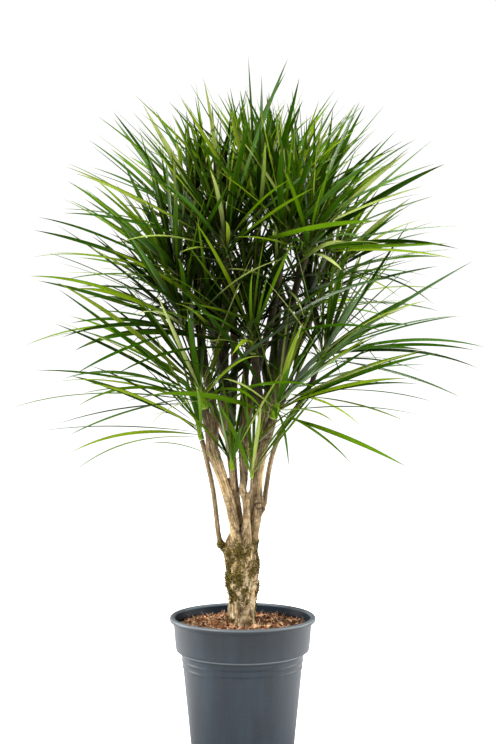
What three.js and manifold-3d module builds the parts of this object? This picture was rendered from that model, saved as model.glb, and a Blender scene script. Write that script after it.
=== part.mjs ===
// A branched dragon tree in its nursery pot. Millimetres, +Z up.
// The origin is the middle of the pot's base, on the surface that the pot stands on. The tree's front faces
// -Y. The pot holds the soil, the soil holds the foot of the trunk, and each branch ends in a rosette of
// blades.
import * as THREE from "three";
import { mergeVertices } from "three/addons/utils/BufferGeometryUtils.js";
import Module from "manifold-3d";

const wasm = await Module();
wasm.setup();
const { Manifold } = wasm;
const { lerp, degToRad } = THREE.MathUtils;

// ---------------------------------------------------------------- driving sizes: pot and soil

const GAP = 0.3; // between pieces that touch

const POT_HEIGHT = 228;
const RIM_RADIUS = 122;
const RIM_ROLL = 8; // height of the rolled lip
const COLLAR_TOP_RADIUS = 116;
const COLLAR_FOOT_RADIUS = 112;
const COLLAR_FOOT_Z = 172; // below it the wall steps in, so that empty pots stack
const BEAD_RADIUS = 105.5; // ring under the step
const BODY_TOP_RADIUS = 103;
const BASE_RADIUS = 85.5;
const WALL = 2;
const FOOT_HEIGHT = 4; // the base stands on a ring and a middle disc this high
const FOOT_RING_WIDTH = 9;
const MIDDLE_DISC_RADIUS = 25;
const FLOOR_TOP_Z = FOOT_HEIGHT + 2.5;
const DRAIN_HOLES = 8;
const DRAIN_HOLE_RADIUS = 5;
const DRAIN_CIRCLE_RADIUS = 50;
const ROUND_SIDES = 32; // of the pot and of the soil in it, so that their gap stays even

const SOIL_TOP_Z = 212;
const SOIL_RELIEF = 2.4;
const SOIL_RINGS = [88, 62, 38]; // radii between which the top of the coir rises and falls
const BARK_CHIPS = 12;
const CHIP_THICKNESS = 9;
const CHIP_PROUD = 3; // of the coir
const CHIP_LENGTHS = [9, 18]; // shortest and longest
const CHIP_WIDTHS = [6, 12];
const CHIP_TILT = 0.25; // most that a chip leans, in radians
const CHIPS_FROM_RADIUS = 34;
const CHIPS_TO_RADIUS = 96;

// ---------------------------------------------------------------- driving sizes: trunk and branches

const TRUNK_ROOT_RADIUS = 19.5;
const TRUNK_SIDES = 12;
const TRUNK_LUMP = 1.6; // height of the flutes over the trunk's mean surface

// The trunk's levels as [z, radius, shift in x]. It is cut square in the soil, and swells to where it
// branches.
const TRUNK_LEVELS = [
  [140, TRUNK_ROOT_RADIUS, 0],
  [216, TRUNK_ROOT_RADIUS, 0],
  [223, 21.5, 0],
  [244, 23, 0],
  [268, 24.5, -1],
  [292, 26, -1],
  [316, 27.3, -1],
  [342, 27.3, -2],
  [364, 22, 0],
  [380, 14, 1],
];

// Stems as [x, y, z, radius], from inside what each grows out of to its growing tip. A wider point is a
// knuckle, where a cut stem has sprouted again.
const STEMS = {
  left_front: [[-5, -5, 340, 15], [-8, -8, 366, 13], [-13, -12, 390, 10.5], [-30, -26, 452, 8.8],
    [-49, -39, 508, 10.5], [-53, -42, 532, 8], [-62, -54, 579, 7.5]],
  left_low: [[-18, 3, 326, 8], [-32, 3, 343, 6], [-40, -2, 364, 4.5], [-49, -6, 438, 4.2],
    [-63, -10, 504, 4.2], [-68, -10, 524, 4.6]],
  left_side: [[-49, -37, 505, 8], [-46, -26, 540, 7], [-50, -18, 590, 6.5], [-62, -14, 640, 8],
    [-78, -22, 668, 6], [-90, -28, 700, 6]],
  left_high: [[-62, -14, 636, 7], [-66, -8, 680, 6], [-80, -14, 730, 6], [-100, -30, 783, 6]],
  centre_left: [[-3, -8, 345, 11], [-5, -8, 380, 8], [-14, -12, 450, 6.8], [-20, -8, 524, 7],
    [-18, 5, 573, 8], [-14, 14, 631, 6.5], [-14, 8, 690, 6.5], [-17, -22, 755, 6], [-26, -50, 826, 6]],
  front_shoot: [[-14, -12, 436, 6], [-16, -26, 458, 4.6], [-17, -33, 477, 4.6]],
  middle_left: [[-18, 3, 568, 6.5], [-28, 3, 604, 6], [-38, 5, 676, 6]],
  centre: [[6, -14, 350, 9], [7, -20, 385, 6.8], [5, -22, 424, 6.2], [0, -22, 441, 6.5], [0, -20, 460, 5],
    [-2, -10, 524, 5], [1, 0, 590, 5.5], [8, 0, 660, 6], [18, -8, 740, 6], [25, -25, 872, 6]],
  centre_right: [[0, -20, 436, 5.5], [4, -10, 460, 5], [5, -6, 500, 5.5], [14, -6, 590, 6], [30, -20, 660, 6],
    [50, -48, 740, 6], [66, -70, 838, 6]],
  young_shoot: [[5, -22, 428, 4.5], [14, -27, 440, 3.4], [15, -30, 462, 3]],
  right_front: [[13, -2, 345, 12], [16, -3, 368, 11], [24, -8, 408, 9.5], [27, -17, 461, 7],
    [36, -29, 515, 7], [40, -32, 530, 9], [50, -46, 563, 7.5]],
  middle_front: [[40, -32, 527, 7], [32, -28, 560, 7], [26, -37, 610, 7], [19, -50, 668, 7]],
  right_low: [[26, -6, 400, 7], [36, 2, 417, 5], [39, 4, 439, 4.4], [49, -4, 496, 4.2], [68, -12, 545, 4.4],
    [98, -18, 591, 4.2], [115, -22, 622, 4.3], [126, -27, 652, 5]],
  right_high: [[18, 8, 350, 9], [21, 14, 390, 7.5], [25, 22, 470, 6.5], [33, 30, 537, 7], [50, 40, 596, 8.5],
    [63, 30, 656, 6.5], [78, 0, 738, 9], [88, -20, 776, 6], [103, -58, 828, 6]],
  right_shoot: [[78, 0, 736, 6], [70, -12, 750, 5.5], [64, -20, 768, 5.5]],
  right_top: [[78, 0, 736, 6.5], [92, 8, 790, 6], [102, 10, 868, 6]],
  right_side: [[50, 40, 590, 7], [72, 46, 640, 6], [104, 50, 700, 6], [142, 46, 792, 6]],
  back_right: [[8, 14, 345, 10], [12, 20, 378, 8.5], [20, 34, 440, 7], [31, 55, 520, 8], [45, 72, 600, 9],
    [55, 80, 680, 7], [62, 84, 770, 6.5], [64, 75, 884, 6]],
  back_right_low: [[31, 55, 516, 6.5], [46, 62, 546, 5.5], [72, 70, 590, 5]],
  back_right_side: [[45, 72, 596, 7], [70, 88, 660, 6], [104, 106, 738, 6]],
  back_middle: [[45, 72, 596, 7], [34, 90, 656, 6], [12, 118, 768, 6]],
  back_left: [[-8, 12, 340, 10], [-9, 20, 376, 8.5], [-14, 32, 440, 7], [-22, 45, 520, 9], [-32, 58, 600, 9],
    [-30, 68, 690, 6.5], [-30, 78, 790, 6], [-42, 85, 880, 6]],
  back_left_low: [[-22, 45, 516, 7], [-38, 54, 546, 5.5], [-60, 70, 588, 5]],
  back_left_side: [[-32, 58, 596, 7], [-42, 76, 650, 6], [-66, 106, 752, 6]],
  left_top: [[-31, 60, 615, 7], [-48, 62, 685, 6.5], [-62, 58, 760, 6], [-74, 50, 846, 6]],
};
const THICK_STEM_RADIUS = 9; // a stem that starts thicker than this is given one side more
const STEM_SIDES = 6;

// ---------------------------------------------------------------- driving sizes: rosettes

// One rosette for each stem: how many blades spiral round it, how long they grow, how many degrees the oldest
// lean away from the stem, and how much they droop.
const ROSETTES = {
  left_front: { blades: 42, length: 300, spread: 78, droop: 0.35 },
  left_low: { blades: 30, length: 250, spread: 80, droop: 0.5 },
  left_side: { blades: 40, length: 275, spread: 74, droop: 0.4 },
  left_high: { blades: 40, length: 250, spread: 56, droop: 0.3 },
  centre_left: { blades: 45, length: 280, spread: 64, droop: 0.3 },
  front_shoot: { blades: 24, length: 190, spread: 50, droop: 0.25 },
  middle_left: { blades: 35, length: 270, spread: 68, droop: 0.4 },
  centre: { blades: 45, length: 260, spread: 56, droop: 0.2 },
  centre_right: { blades: 45, length: 260, spread: 58, droop: 0.3 },
  young_shoot: { blades: 25, length: 210, spread: 36, droop: 0.15 },
  right_front: { blades: 40, length: 265, spread: 74, droop: 0.35 },
  middle_front: { blades: 40, length: 275, spread: 74, droop: 0.45 },
  right_low: { blades: 35, length: 250, spread: 78, droop: 0.35 },
  right_high: { blades: 45, length: 250, spread: 60, droop: 0.35 },
  right_shoot: { blades: 20, length: 180, spread: 66, droop: 0.4 },
  right_top: { blades: 40, length: 215, spread: 50, droop: 0.3 },
  right_side: { blades: 35, length: 205, spread: 60, droop: 0.4 },
  back_right: { blades: 35, length: 235, spread: 52, droop: 0.2 },
  back_right_low: { blades: 24, length: 240, spread: 74, droop: 0.35 },
  back_right_side: { blades: 35, length: 235, spread: 66, droop: 0.35 },
  back_middle: { blades: 30, length: 250, spread: 70, droop: 0.35 },
  back_left: { blades: 35, length: 255, spread: 52, droop: 0.2 },
  back_left_low: { blades: 24, length: 245, spread: 74, droop: 0.35 },
  back_left_side: { blades: 35, length: 240, spread: 66, droop: 0.35 },
  left_top: { blades: 36, length: 250, spread: 52, droop: 0.25 },
};

// Blades that stand out of the spiral, each set by hand: the turn round the stem and the lean away from it in
// degrees, the length and the droop. They are as old as LEADER_AGE.
const LEADERS = {
  left_front: [
    { turn: 350, lean: 40, length: 290, droop: 0.1 },
    { turn: 8, lean: 45, length: 270, droop: 0.2 },
    { turn: 15, lean: 50, length: 240, droop: 0.7 },
    { turn: 10, lean: 58, length: 210, droop: 0.9 },
    { turn: 130, lean: 64, length: 180, droop: 1.1 },
  ],
  middle_left: [{ turn: 130, lean: 100, length: 205, droop: 0.8 }],
  centre: [{ turn: 0, lean: 6, length: 265, droop: 0 }],
  right_front: [
    { turn: 105, lean: 75, length: 130, droop: 2.4 },
    { turn: 185, lean: 45, length: 280, droop: 0.3 },
    { turn: 195, lean: 38, length: 200, droop: 0.1 },
    { turn: 165, lean: 92, length: 150, droop: 0.6 },
  ],
  right_low: [
    { turn: 180, lean: 35, length: 290, droop: 0.1 },
    { turn: 180, lean: 12, length: 260, droop: 0 },
    { turn: 140, lean: 16, length: 230, droop: 0 },
    { turn: 170, lean: 54, length: 270, droop: 0.5 },
    { turn: 165, lean: 60, length: 260, droop: 0.55 },
  ],
  right_high: [{ turn: 170, lean: 64, length: 230, droop: 0 }],
  right_top: [{ turn: 0, lean: 12, length: 235, droop: 0 }],
  right_side: [{ turn: 160, lean: 66, length: 190, droop: 0.9 }],
};
const LEADER_AGE = 0.7;
const MOST_BLADES = 45; // in one spiral

// Of every five blades in a spiral two are solids: the third, and of the others the furthest reaching.
const SOLID_CYCLE = 5;
const THIRD = 2;

const GOLDEN_ANGLE = 137.508; // degrees from one blade to the next round a stem
const YOUNGEST_LEAN = 8; // degrees between the youngest blade and the stem's line
const YOUNGEST_LENGTH = 0.6; // of a grown blade's
const GROWN_AGE = 0.67; // share of the spiral from which the blades are fully grown
const DROOP_BY_AGE = [0.25, 1.2]; // of a rosette's droop, from its youngest to its oldest blade
const VARIATION = { turn: 9, lean: 7, length: 0.1, droop: 0.45, sweep: 0.16, roll: 0.35 };

const BLADE_WIDTH = 11;
const FULL_WIDTH_LENGTH = 250; // shorter blades are narrower
const BLADE_KEEL = 1.6; // depth of the keel at the root, half as much at the tip
const BLADE_ROOT_WIDTH = 0.3; // of the full width
const WIDEST = 0.42; // share of a blade's length where it is widest
const TAPER = 2.2; // the higher, the longer a blade stays wide before its point
const BLADE_STEPS = 12; // steps along a midrib
const BLADE_RINGS = [0, 4, 8]; // the steps where a blade has a section, before its point

const BUD_SHARE = 0.16; // length of the bud that the blades grow from, to the length of a blade
const BUD_SWELL = 1.5; // of the bud, over the stem's radius
const BUD_SIDES = 5;
const BEND_TRIES = 24; // a blade that would cross another piece is bent aside up to this often
const BEND_GROWTH = 0.1; // growth of the variation with each try
const CLEARANCE = 0.5; // between the blades of one rosette and everything else

// ---------------------------------------------------------------- finishes

const finish = (color, roughness) => new THREE.MeshStandardMaterial({ color, roughness, metalness: 0 });
const potPlastic = finish(0x454d55, 0.55);
const soilCoir = finish(0x7a4a2c, 0.95);
const barkWood = finish(0xa58b66, 0.85);
const bladeGreen = finish(0x2f5a1c, 0.4);

// ---------------------------------------------------------------- small helpers

// A repeatable stream of numbers from 0 to 1.
function stream(seed) {
  let state = (seed * 2654435 + 97531) % 2 ** 32;
  return () => {
    state = (state * 1664525 + 1013904223) % 2 ** 32;
    return state / 2 ** 32;
  };
}

function blend(a, shareOfA, b, shareOfB) {
  return a.clone().multiplyScalar(shareOfA).addScaledVector(b, shareOfB);
}

function solidFrom(geometry) {
  geometry.deleteAttribute("normal");
  geometry.deleteAttribute("uv");
  const merged = mergeVertices(geometry);
  return new Manifold(new wasm.Mesh({
    numProp: 3,
    vertProperties: merged.attributes.position.array,
    triVerts: new Uint32Array(merged.index.array),
  }));
}

// An outline of [radius, z] points, turned about the Z axis.
function turned(outline) {
  const points = outline.map(([r, z]) => new THREE.Vector2(r, z));
  return new THREE.LatheGeometry(points, ROUND_SIDES).rotateX(Math.PI / 2);
}

// A closed skin over rings of points that go round anticlockwise, seen from ahead. The last may be a point.
function skin(rings) {
  const faces = [];
  const sides = rings[0].length;
  for (let r = 0; r + 1 < rings.length; r++) {
    for (let i = 0; i < sides; i++) {
      const [a, b] = [r * sides + i, r * sides + ((i + 1) % sides)];
      if (rings[r + 1].length === 1) {
        faces.push([a, b, (r + 1) * sides]);
      } else {
        faces.push([a, b, b + sides], [a, b + sides, a + sides]);
      }
    }
  }
  const lastStart = (rings.length - 1) * sides;
  for (let i = 1; i + 1 < sides; i++) {
    faces.push([0, i + 1, i]);
    if (rings.at(-1).length > 1) {
      faces.push([lastStart, lastStart + i, lastStart + i + 1]);
    }
  }
  const geometry = new THREE.BufferGeometry().setFromPoints(rings.flat());
  return solidFrom(geometry.setIndex(faces.flat()));
}

// A tube along [x, y, z, radius] points, with a flat end square to its last stretch.
function tube(route, sides) {
  const points = route.map(([x, y, z]) => new THREE.Vector3(x, y, z));
  return skin(points.map((point, i) => {
    const ahead = points[Math.min(i + 1, points.length - 1)];
    const behind = points[i + 1 < points.length ? Math.max(i - 1, 0) : i - 1];
    const way = ahead.clone().sub(behind).normalize();
    const turn = new THREE.Quaternion().setFromUnitVectors(new THREE.Vector3(0, 0, 1), way);
    return Array.from({ length: sides }, (_, k) => {
      const angle = (2 * Math.PI * k) / sides;
      const spoke = new THREE.Vector3(Math.cos(angle), Math.sin(angle), 0).applyQuaternion(turn);
      return spoke.multiplyScalar(route[i][3]).add(point);
    });
  }));
}

// ---------------------------------------------------------------- pot

function wallInnerRadius(z) {
  return lerp(BASE_RADIUS, BODY_TOP_RADIUS, z / COLLAR_FOOT_Z) - WALL;
}

function collarInnerRadius(z) {
  const share = (z - COLLAR_FOOT_Z) / (POT_HEIGHT - COLLAR_FOOT_Z);
  return lerp(COLLAR_FOOT_RADIUS, COLLAR_TOP_RADIUS, share) - WALL;
}

function makePot() {
  const ringInner = BASE_RADIUS - FOOT_RING_WIDTH;
  const shell = solidFrom(turned([
    [0, 0],
    [MIDDLE_DISC_RADIUS, 0],
    [MIDDLE_DISC_RADIUS + 2, FOOT_HEIGHT],
    [ringInner - 2, FOOT_HEIGHT],
    [ringInner, 0],
    [BASE_RADIUS, 0],
    [BODY_TOP_RADIUS, COLLAR_FOOT_Z - 7],
    [BEAD_RADIUS, COLLAR_FOOT_Z - 4],
    [BEAD_RADIUS, COLLAR_FOOT_Z - 2],
    [COLLAR_FOOT_RADIUS, COLLAR_FOOT_Z + 1],
    [COLLAR_TOP_RADIUS, POT_HEIGHT - RIM_ROLL - 1],
    [RIM_RADIUS - 2, POT_HEIGHT - RIM_ROLL],
    [RIM_RADIUS, POT_HEIGHT - RIM_ROLL / 2],
    [RIM_RADIUS - 3, POT_HEIGHT],
    [collarInnerRadius(POT_HEIGHT), POT_HEIGHT - 2],
    [collarInnerRadius(COLLAR_FOOT_Z), COLLAR_FOOT_Z + 3],
    [wallInnerRadius(COLLAR_FOOT_Z), COLLAR_FOOT_Z - 4],
    [wallInnerRadius(0), FLOOR_TOP_Z],
    [0, FLOOR_TOP_Z],
  ]));
  const holes = Array.from({ length: DRAIN_HOLES }, (_, i) => {
    const angle = (2 * Math.PI * i) / DRAIN_HOLES;
    const [x, y] = [DRAIN_CIRCLE_RADIUS * Math.cos(angle), DRAIN_CIRCLE_RADIUS * Math.sin(angle)];
    const hole = new THREE.CylinderGeometry(DRAIN_HOLE_RADIUS, DRAIN_HOLE_RADIUS, 4 * FLOOR_TOP_Z, 8);
    return solidFrom(hole.rotateX(Math.PI / 2).translate(x, y, 0));
  });
  return shell.subtract(Manifold.union(holes));
}

// ---------------------------------------------------------------- soil

// Height of the coir at a place, over its mean level: two ripples that cross.
function soilRelief(x, y) {
  const broad = Math.sin(x * 0.11 + 1) * Math.cos(y * 0.13);
  const fine = Math.sin(x * 0.29 + y * 0.23);
  return SOIL_RELIEF * (broad + 0.6 * fine);
}

function makeSoil() {
  const body = turned([
    [0, FLOOR_TOP_Z + GAP],
    [wallInnerRadius(0) - GAP, FLOOR_TOP_Z + GAP],
    [wallInnerRadius(COLLAR_FOOT_Z) - GAP, COLLAR_FOOT_Z - 4],
    [collarInnerRadius(COLLAR_FOOT_Z) - GAP, COLLAR_FOOT_Z + 3 + GAP],
    [collarInnerRadius(SOIL_TOP_Z) - 2 * GAP, SOIL_TOP_Z],
    ...SOIL_RINGS.map((radius) => [radius, SOIL_TOP_Z]),
    [0, SOIL_TOP_Z],
  ]);
  const place = body.attributes.position;
  for (let i = 0; i < place.count; i++) {
    if (place.getZ(i) > SOIL_TOP_Z - 1) {
      place.setZ(i, SOIL_TOP_Z + soilRelief(place.getX(i), place.getY(i)));
    }
  }
  const holeRadius = TRUNK_ROOT_RADIUS + 2 * GAP;
  const hole = new THREE.CylinderGeometry(holeRadius, holeRadius, POT_HEIGHT, 20);
  hole.rotateX(Math.PI / 2).translate(0, 0, TRUNK_LEVELS[0][0] - GAP + POT_HEIGHT / 2);
  return Manifold.union([solidFrom(body), ...makeBarkChips()]).subtract(solidFrom(hole));
}

function makeBarkChips() {
  const random = stream(7);
  return Array.from({ length: BARK_CHIPS }, () => {
    const angle = 2 * Math.PI * random();
    const reach = lerp(CHIPS_FROM_RADIUS, CHIPS_TO_RADIUS, Math.sqrt(random()));
    const [x, y] = [reach * Math.cos(angle), reach * Math.sin(angle)];
    const z = SOIL_TOP_Z + soilRelief(x, y) + CHIP_PROUD - CHIP_THICKNESS / 2;
    const [length, width] = [lerp(...CHIP_LENGTHS, random()), lerp(...CHIP_WIDTHS, random())];
    const chip = new THREE.BoxGeometry(length, width, CHIP_THICKNESS);
    chip.rotateX(CHIP_TILT * (2 * random() - 1));
    chip.rotateZ(Math.PI * random());
    return solidFrom(chip.translate(x, y, z));
  });
}

// ---------------------------------------------------------------- trunk and branches

// The trunk is several old stems grown together, so above the soil its outline is fluted and lumpy.
function makeTrunk() {
  return skin(TRUNK_LEVELS.map(([z, radius, shift]) => Array.from({ length: TRUNK_SIDES }, (_, k) => {
    const angle = (2 * Math.PI * k) / TRUNK_SIDES;
    const flutes = Math.sin(3 * angle + z * 0.05) + 0.7 * Math.sin(5 * angle - z * 0.11);
    const reach = radius + (radius > TRUNK_ROOT_RADIUS ? TRUNK_LUMP * flutes : 0);
    return new THREE.Vector3(shift + reach * Math.cos(angle), reach * Math.sin(angle), z);
  })));
}

function makeStem(route) {
  return tube(route, route[0][3] > THICK_STEM_RADIUS ? STEM_SIDES + 1 : STEM_SIDES);
}

// The tip of a stem: where it ends, the way it points and two directions across it.
function stemTip(route) {
  const [before, end] = route.slice(-2).map(([x, y, z]) => new THREE.Vector3(x, y, z));
  const axis = end.clone().sub(before).normalize();
  const across = new THREE.Vector3().crossVectors(axis, new THREE.Vector3(0, 1, 0)).normalize();
  const front = new THREE.Vector3().crossVectors(axis, across);
  return { end, axis, across, front, radius: route.at(-1)[3] };
}

// ---------------------------------------------------------------- rosettes

function makeBud(tip, rosette) {
  const length = rosette.length * BUD_SHARE;
  const along = (share) => tip.end.clone().addScaledVector(tip.axis, GAP + share * length).toArray();
  const belly = tip.radius + BUD_SWELL;
  const route = [
    [...along(0), tip.radius + 1],
    [...along(0.4), belly],
    [...along(1), belly / 2],
  ];
  return tube(route, BUD_SIDES);
}

// Share of the full width at a share s of a blade's length: a narrow root, a long belly and a fine point.
function bladeOutline(s) {
  return s < WIDEST
    ? lerp(BLADE_ROOT_WIDTH, 1, Math.sin((Math.PI / 2) * (s / WIDEST)))
    : 1 - ((s - WIDEST) / (1 - WIDEST)) ** TAPER;
}

// The midrib of blade number i, as it grows on a given try: its points, and the blade's sideways direction at
// each. The blades spiral down from the top of the bud, so the first are the youngest: upright, short and
// hardly drooping.
function midrib({ tip, rosette, leaders, seed }, i, bend) {
  const random = stream(seed * 10000 + i * 100 + bend);
  const leader = leaders[i - rosette.blades];
  const freedom = (leader ? 0 : 1) + BEND_GROWTH * bend;
  const vary = (kind) => VARIATION[kind] * (2 * random() - 1) * freedom;
  const age = leader ? LEADER_AGE : (i + 0.5) / rosette.blades;
  const growth = Math.sin((Math.PI / 2) * Math.min(1, age / GROWN_AGE));
  const grown = leader ?? {
    turn: i * GOLDEN_ANGLE,
    lean: lerp(YOUNGEST_LEAN, rosette.spread, age ** 0.8),
    length: rosette.length * lerp(YOUNGEST_LENGTH, 1, growth),
    droop: rosette.droop * lerp(...DROOP_BY_AGE, age),
  };
  const turn = degToRad(grown.turn + vary("turn"));
  const lean = degToRad(grown.lean + vary("lean"));
  const length = grown.length * (1 + vary("length"));
  const droop = grown.droop * (1 + vary("droop"));
  const sweep = vary("sweep");
  const roll = vary("roll");

  const outward = blend(tip.across, Math.cos(turn), tip.front, Math.sin(turn));
  const start = blend(tip.axis, Math.cos(lean), outward, Math.sin(lean));
  const side = new THREE.Vector3().crossVectors(tip.axis, start).normalize();
  const height = lerp(rosette.length * BUD_SHARE - 3, 5, age);
  const root = tip.end.clone().addScaledVector(tip.axis, height);
  const points = [root.addScaledVector(outward, (age * (tip.radius + BUD_SWELL)) / 2)];
  const sides = [];
  for (let k = 0; k < BLADE_STEPS; k++) {
    const s = (k + 0.5) / BLADE_STEPS;
    const way = start.clone().addScaledVector(side, sweep * s);
    way.z -= droop * s ** 1.5;
    way.normalize();
    points.push(points[k].clone().addScaledVector(way, length / BLADE_STEPS));
    sides.push(side.clone().addScaledVector(way, -side.dot(way)).normalize().applyAxisAngle(way, roll * s));
  }
  return { points, sides, width: BLADE_WIDTH * Math.min(1, length / FULL_WIDTH_LENGTH) };
}

// A blade: flat on top, with a keel under its midrib, from a root inside the bud to a point.
function makeBlade({ points, sides, width }) {
  const rings = BLADE_RINGS.map((k) => {
    const s = k / BLADE_STEPS;
    const half = (width / 2) * bladeOutline(s);
    const way = points[k + 1].clone().sub(points[Math.max(k - 1, 0)]).normalize();
    const down = new THREE.Vector3().crossVectors(sides[k], way).normalize();
    return [
      points[k].clone().addScaledVector(sides[k], -half),
      points[k].clone().addScaledVector(down, BLADE_KEEL * (1 - s / 2)),
      points[k].clone().addScaledVector(sides[k], half),
    ];
  });
  return skin([...rings, [points[BLADE_STEPS]]]);
}

// ---------------------------------------------------------------- growing the plant

// Everything that a blade may cross only if it is its own rosette's.
const placed = [];

function place(owner, solid) {
  placed.push({ owner, solid, box: boxOf(solid) });
  return solid;
}

function boxOf(solid) {
  const { min, max } = solid.boundingBox();
  return new THREE.Box3(new THREE.Vector3(...min), new THREE.Vector3(...max)).expandByScalar(CLEARANCE);
}

function isClear(owner, solid) {
  const box = boxOf(solid);
  return placed.every((other) => other.owner === owner
    || !box.intersectsBox(other.box)
    || solid.minGap(other.solid, CLEARANCE) >= CLEARANCE);
}

function growBlade(bud, i) {
  for (let bend = 0; bend < BEND_TRIES; bend++) {
    const blade = makeBlade(midrib(bud, i, bend));
    if (isClear(bud.name, blade)) {
      bud.parts.push(place(bud.name, blade));
      return;
    }
  }
}

const wood = [makeTrunk(), ...Object.values(STEMS).map(makeStem)].map((solid) => place("wood", solid));
const buds = Object.entries(ROSETTES).map(([name, rosette], index) => {
  const tip = stemTip(STEMS[name]);
  const leaders = LEADERS[name] ?? [];
  return { name, rosette, leaders, tip, seed: index + 1, parts: [place(name, makeBud(tip, rosette))] };
});

// How far from the trunk a blade's tip lies, if nothing bends it aside.
function reachOf(bud, i) {
  const tip = midrib(bud, i, 0).points[BLADE_STEPS];
  return Math.hypot(tip.x, tip.y);
}

// The numbers of the solid blades in a spiral.
function solidBlades(bud) {
  const cycles = Math.ceil(bud.rosette.blades / SOLID_CYCLE);
  return Array.from({ length: cycles }, (_, cycle) => {
    const numbers = Array.from({ length: SOLID_CYCLE }, (_, k) => cycle * SOLID_CYCLE + k);
    const always = numbers[THIRD];
    const others = numbers.filter((i) => i !== always && i < bud.rosette.blades);
    const furthest = others.sort((a, b) => reachOf(bud, b) - reachOf(bud, a))[0];
    return [always, furthest];
  }).flat();
}

// The leaders are placed first, and then the spirals from their oldest blades, which reach furthest.
for (const bud of buds) {
  bud.leaders.forEach((_, k) => growBlade(bud, bud.rosette.blades + k));
}
const spirals = buds.map((bud) => ({ bud, solid: solidBlades(bud) }));
for (let i = MOST_BLADES - 1; i >= 0; i--) {
  spirals.filter(({ bud, solid }) => i < bud.rosette.blades && solid.includes(i))
    .forEach(({ bud }) => growBlade(bud, i));
}

// ---------------------------------------------------------------- the whole plant

const plant = new THREE.Group();

function addPiece(name, solid, material) {
  const mesh = solid.getMesh();
  const geometry = new THREE.BufferGeometry();
  geometry.setAttribute("position", new THREE.BufferAttribute(mesh.vertProperties, 3));
  geometry.setIndex(new THREE.BufferAttribute(mesh.triVerts, 1));
  geometry.computeVertexNormals();
  const piece = new THREE.Mesh(geometry, material);
  piece.name = name;
  plant.add(piece);
}

addPiece("pot", makePot(), potPlastic);
addPiece("soil", makeSoil(), soilCoir);
addPiece("trunk_and_branches", Manifold.union(wood), barkWood);
for (const { name, parts } of buds) {
  addPiece(`leaves_${name}`, Manifold.union(parts), bladeGreen);
}

export default plant;
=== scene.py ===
# %% [markdown]
# # A branched dragon tree in a nursery pot
# The real thing is a slate-grey plastic pot, a bed of bark soil, one piece of living wood that branches
# from a short fluted trunk, and a rosette of long narrow blades at the tip of each stem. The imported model
# already has each of these at its real size. Here every node is replaced by a finer piece in the same
# place, and each surface gets its finish. Lengths are in metres. Z is up, and the tree's front faces -Y.

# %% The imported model
import math

import bmesh
import bpy
import numpy as np
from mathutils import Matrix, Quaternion, Vector, noise
from mathutils.bvhtree import BVHTree
from mathutils.kdtree import KDTree


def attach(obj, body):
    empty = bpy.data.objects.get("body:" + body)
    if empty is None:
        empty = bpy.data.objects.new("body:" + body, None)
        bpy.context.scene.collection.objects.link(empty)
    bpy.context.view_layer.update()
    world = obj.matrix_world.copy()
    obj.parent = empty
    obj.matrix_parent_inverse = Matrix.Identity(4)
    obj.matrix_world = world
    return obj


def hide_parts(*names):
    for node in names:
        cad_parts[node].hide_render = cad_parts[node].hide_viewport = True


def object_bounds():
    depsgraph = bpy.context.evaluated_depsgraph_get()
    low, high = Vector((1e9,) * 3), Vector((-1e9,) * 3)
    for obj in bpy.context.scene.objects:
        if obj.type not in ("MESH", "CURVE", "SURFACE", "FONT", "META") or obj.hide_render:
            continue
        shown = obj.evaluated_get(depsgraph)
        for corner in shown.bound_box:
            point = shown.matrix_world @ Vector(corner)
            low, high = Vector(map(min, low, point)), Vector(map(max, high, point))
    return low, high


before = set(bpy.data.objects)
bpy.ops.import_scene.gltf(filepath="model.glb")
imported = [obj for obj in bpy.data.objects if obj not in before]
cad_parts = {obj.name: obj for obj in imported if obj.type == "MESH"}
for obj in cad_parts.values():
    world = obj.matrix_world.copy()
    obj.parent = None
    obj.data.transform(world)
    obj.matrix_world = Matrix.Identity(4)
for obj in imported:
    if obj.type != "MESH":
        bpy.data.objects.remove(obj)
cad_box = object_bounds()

MM = 0.001
scene = bpy.context.scene
print("nodes:", len(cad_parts), "box:", [tuple(round(v, 3) for v in corner) for corner in cad_box])

# %% [markdown]
# ## Camera, floor and light
# The photograph was taken from about 2.5 m away, a little above the middle of the crown, with a lens longer
# than normal: the rim and the bead of the pot look nearly flat. A camera could be matched by eye, but the
# pot is round, so how open its rim looks gives the camera's height, and the width of the crown gives its
# distance.

# %% Camera
CAMERA_PLACE = Vector((0.009, -2.5, 0.715))
CAMERA_TILT = math.radians(-1.8)
FOCAL_LENGTH = 72.58  # in mm, on a sensor 36 mm long

camera = bpy.data.objects.new("camera", bpy.data.cameras.new("camera"))
camera.data.lens = FOCAL_LENGTH
camera.data.sensor_width = 36
camera.location = CAMERA_PLACE
camera.rotation_euler = (math.pi / 2 + CAMERA_TILT, 0, 0)
scene.collection.objects.link(camera)
scene.camera = camera
print("camera", tuple(camera.location))

# %% [markdown]
# The picture has a plain white ground with hardly a shadow, as from a light tent. So the sky is an even
# white, three large area lights stand above, left and right of the camera, and two weak ones are the walls
# beside the pot. The floor is as pale as paper, and the colours go to the screen unaltered, with the
# Standard view transform.

# %% A helper that adds a node
def put(tree, kind, inputs=None, **settings):
    """Adds a node to a tree, sets it up, and gives each input a value or a link from another node."""
    node = tree.nodes.new(kind)
    for name, value in settings.items():
        setattr(node, name, value)
    for socket, value in (inputs or {}).items():
        if isinstance(value, bpy.types.NodeSocket):
            tree.links.new(value, node.inputs[socket])
        else:
            node.inputs[socket].default_value = value
    return node


# %% Sky, lights and floor
SKY_LIGHT, SKY_SEEN = 0.15, 1.05
FLOOR_GLOW, FLOOR_SEEN = 0.1, 1.0
FLOOR_SIZE = 60.0

scene.view_settings.view_transform = "Standard"
sky = bpy.data.worlds.new("light_tent")
sky.use_nodes = True
sky.node_tree.nodes.clear()


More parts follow.
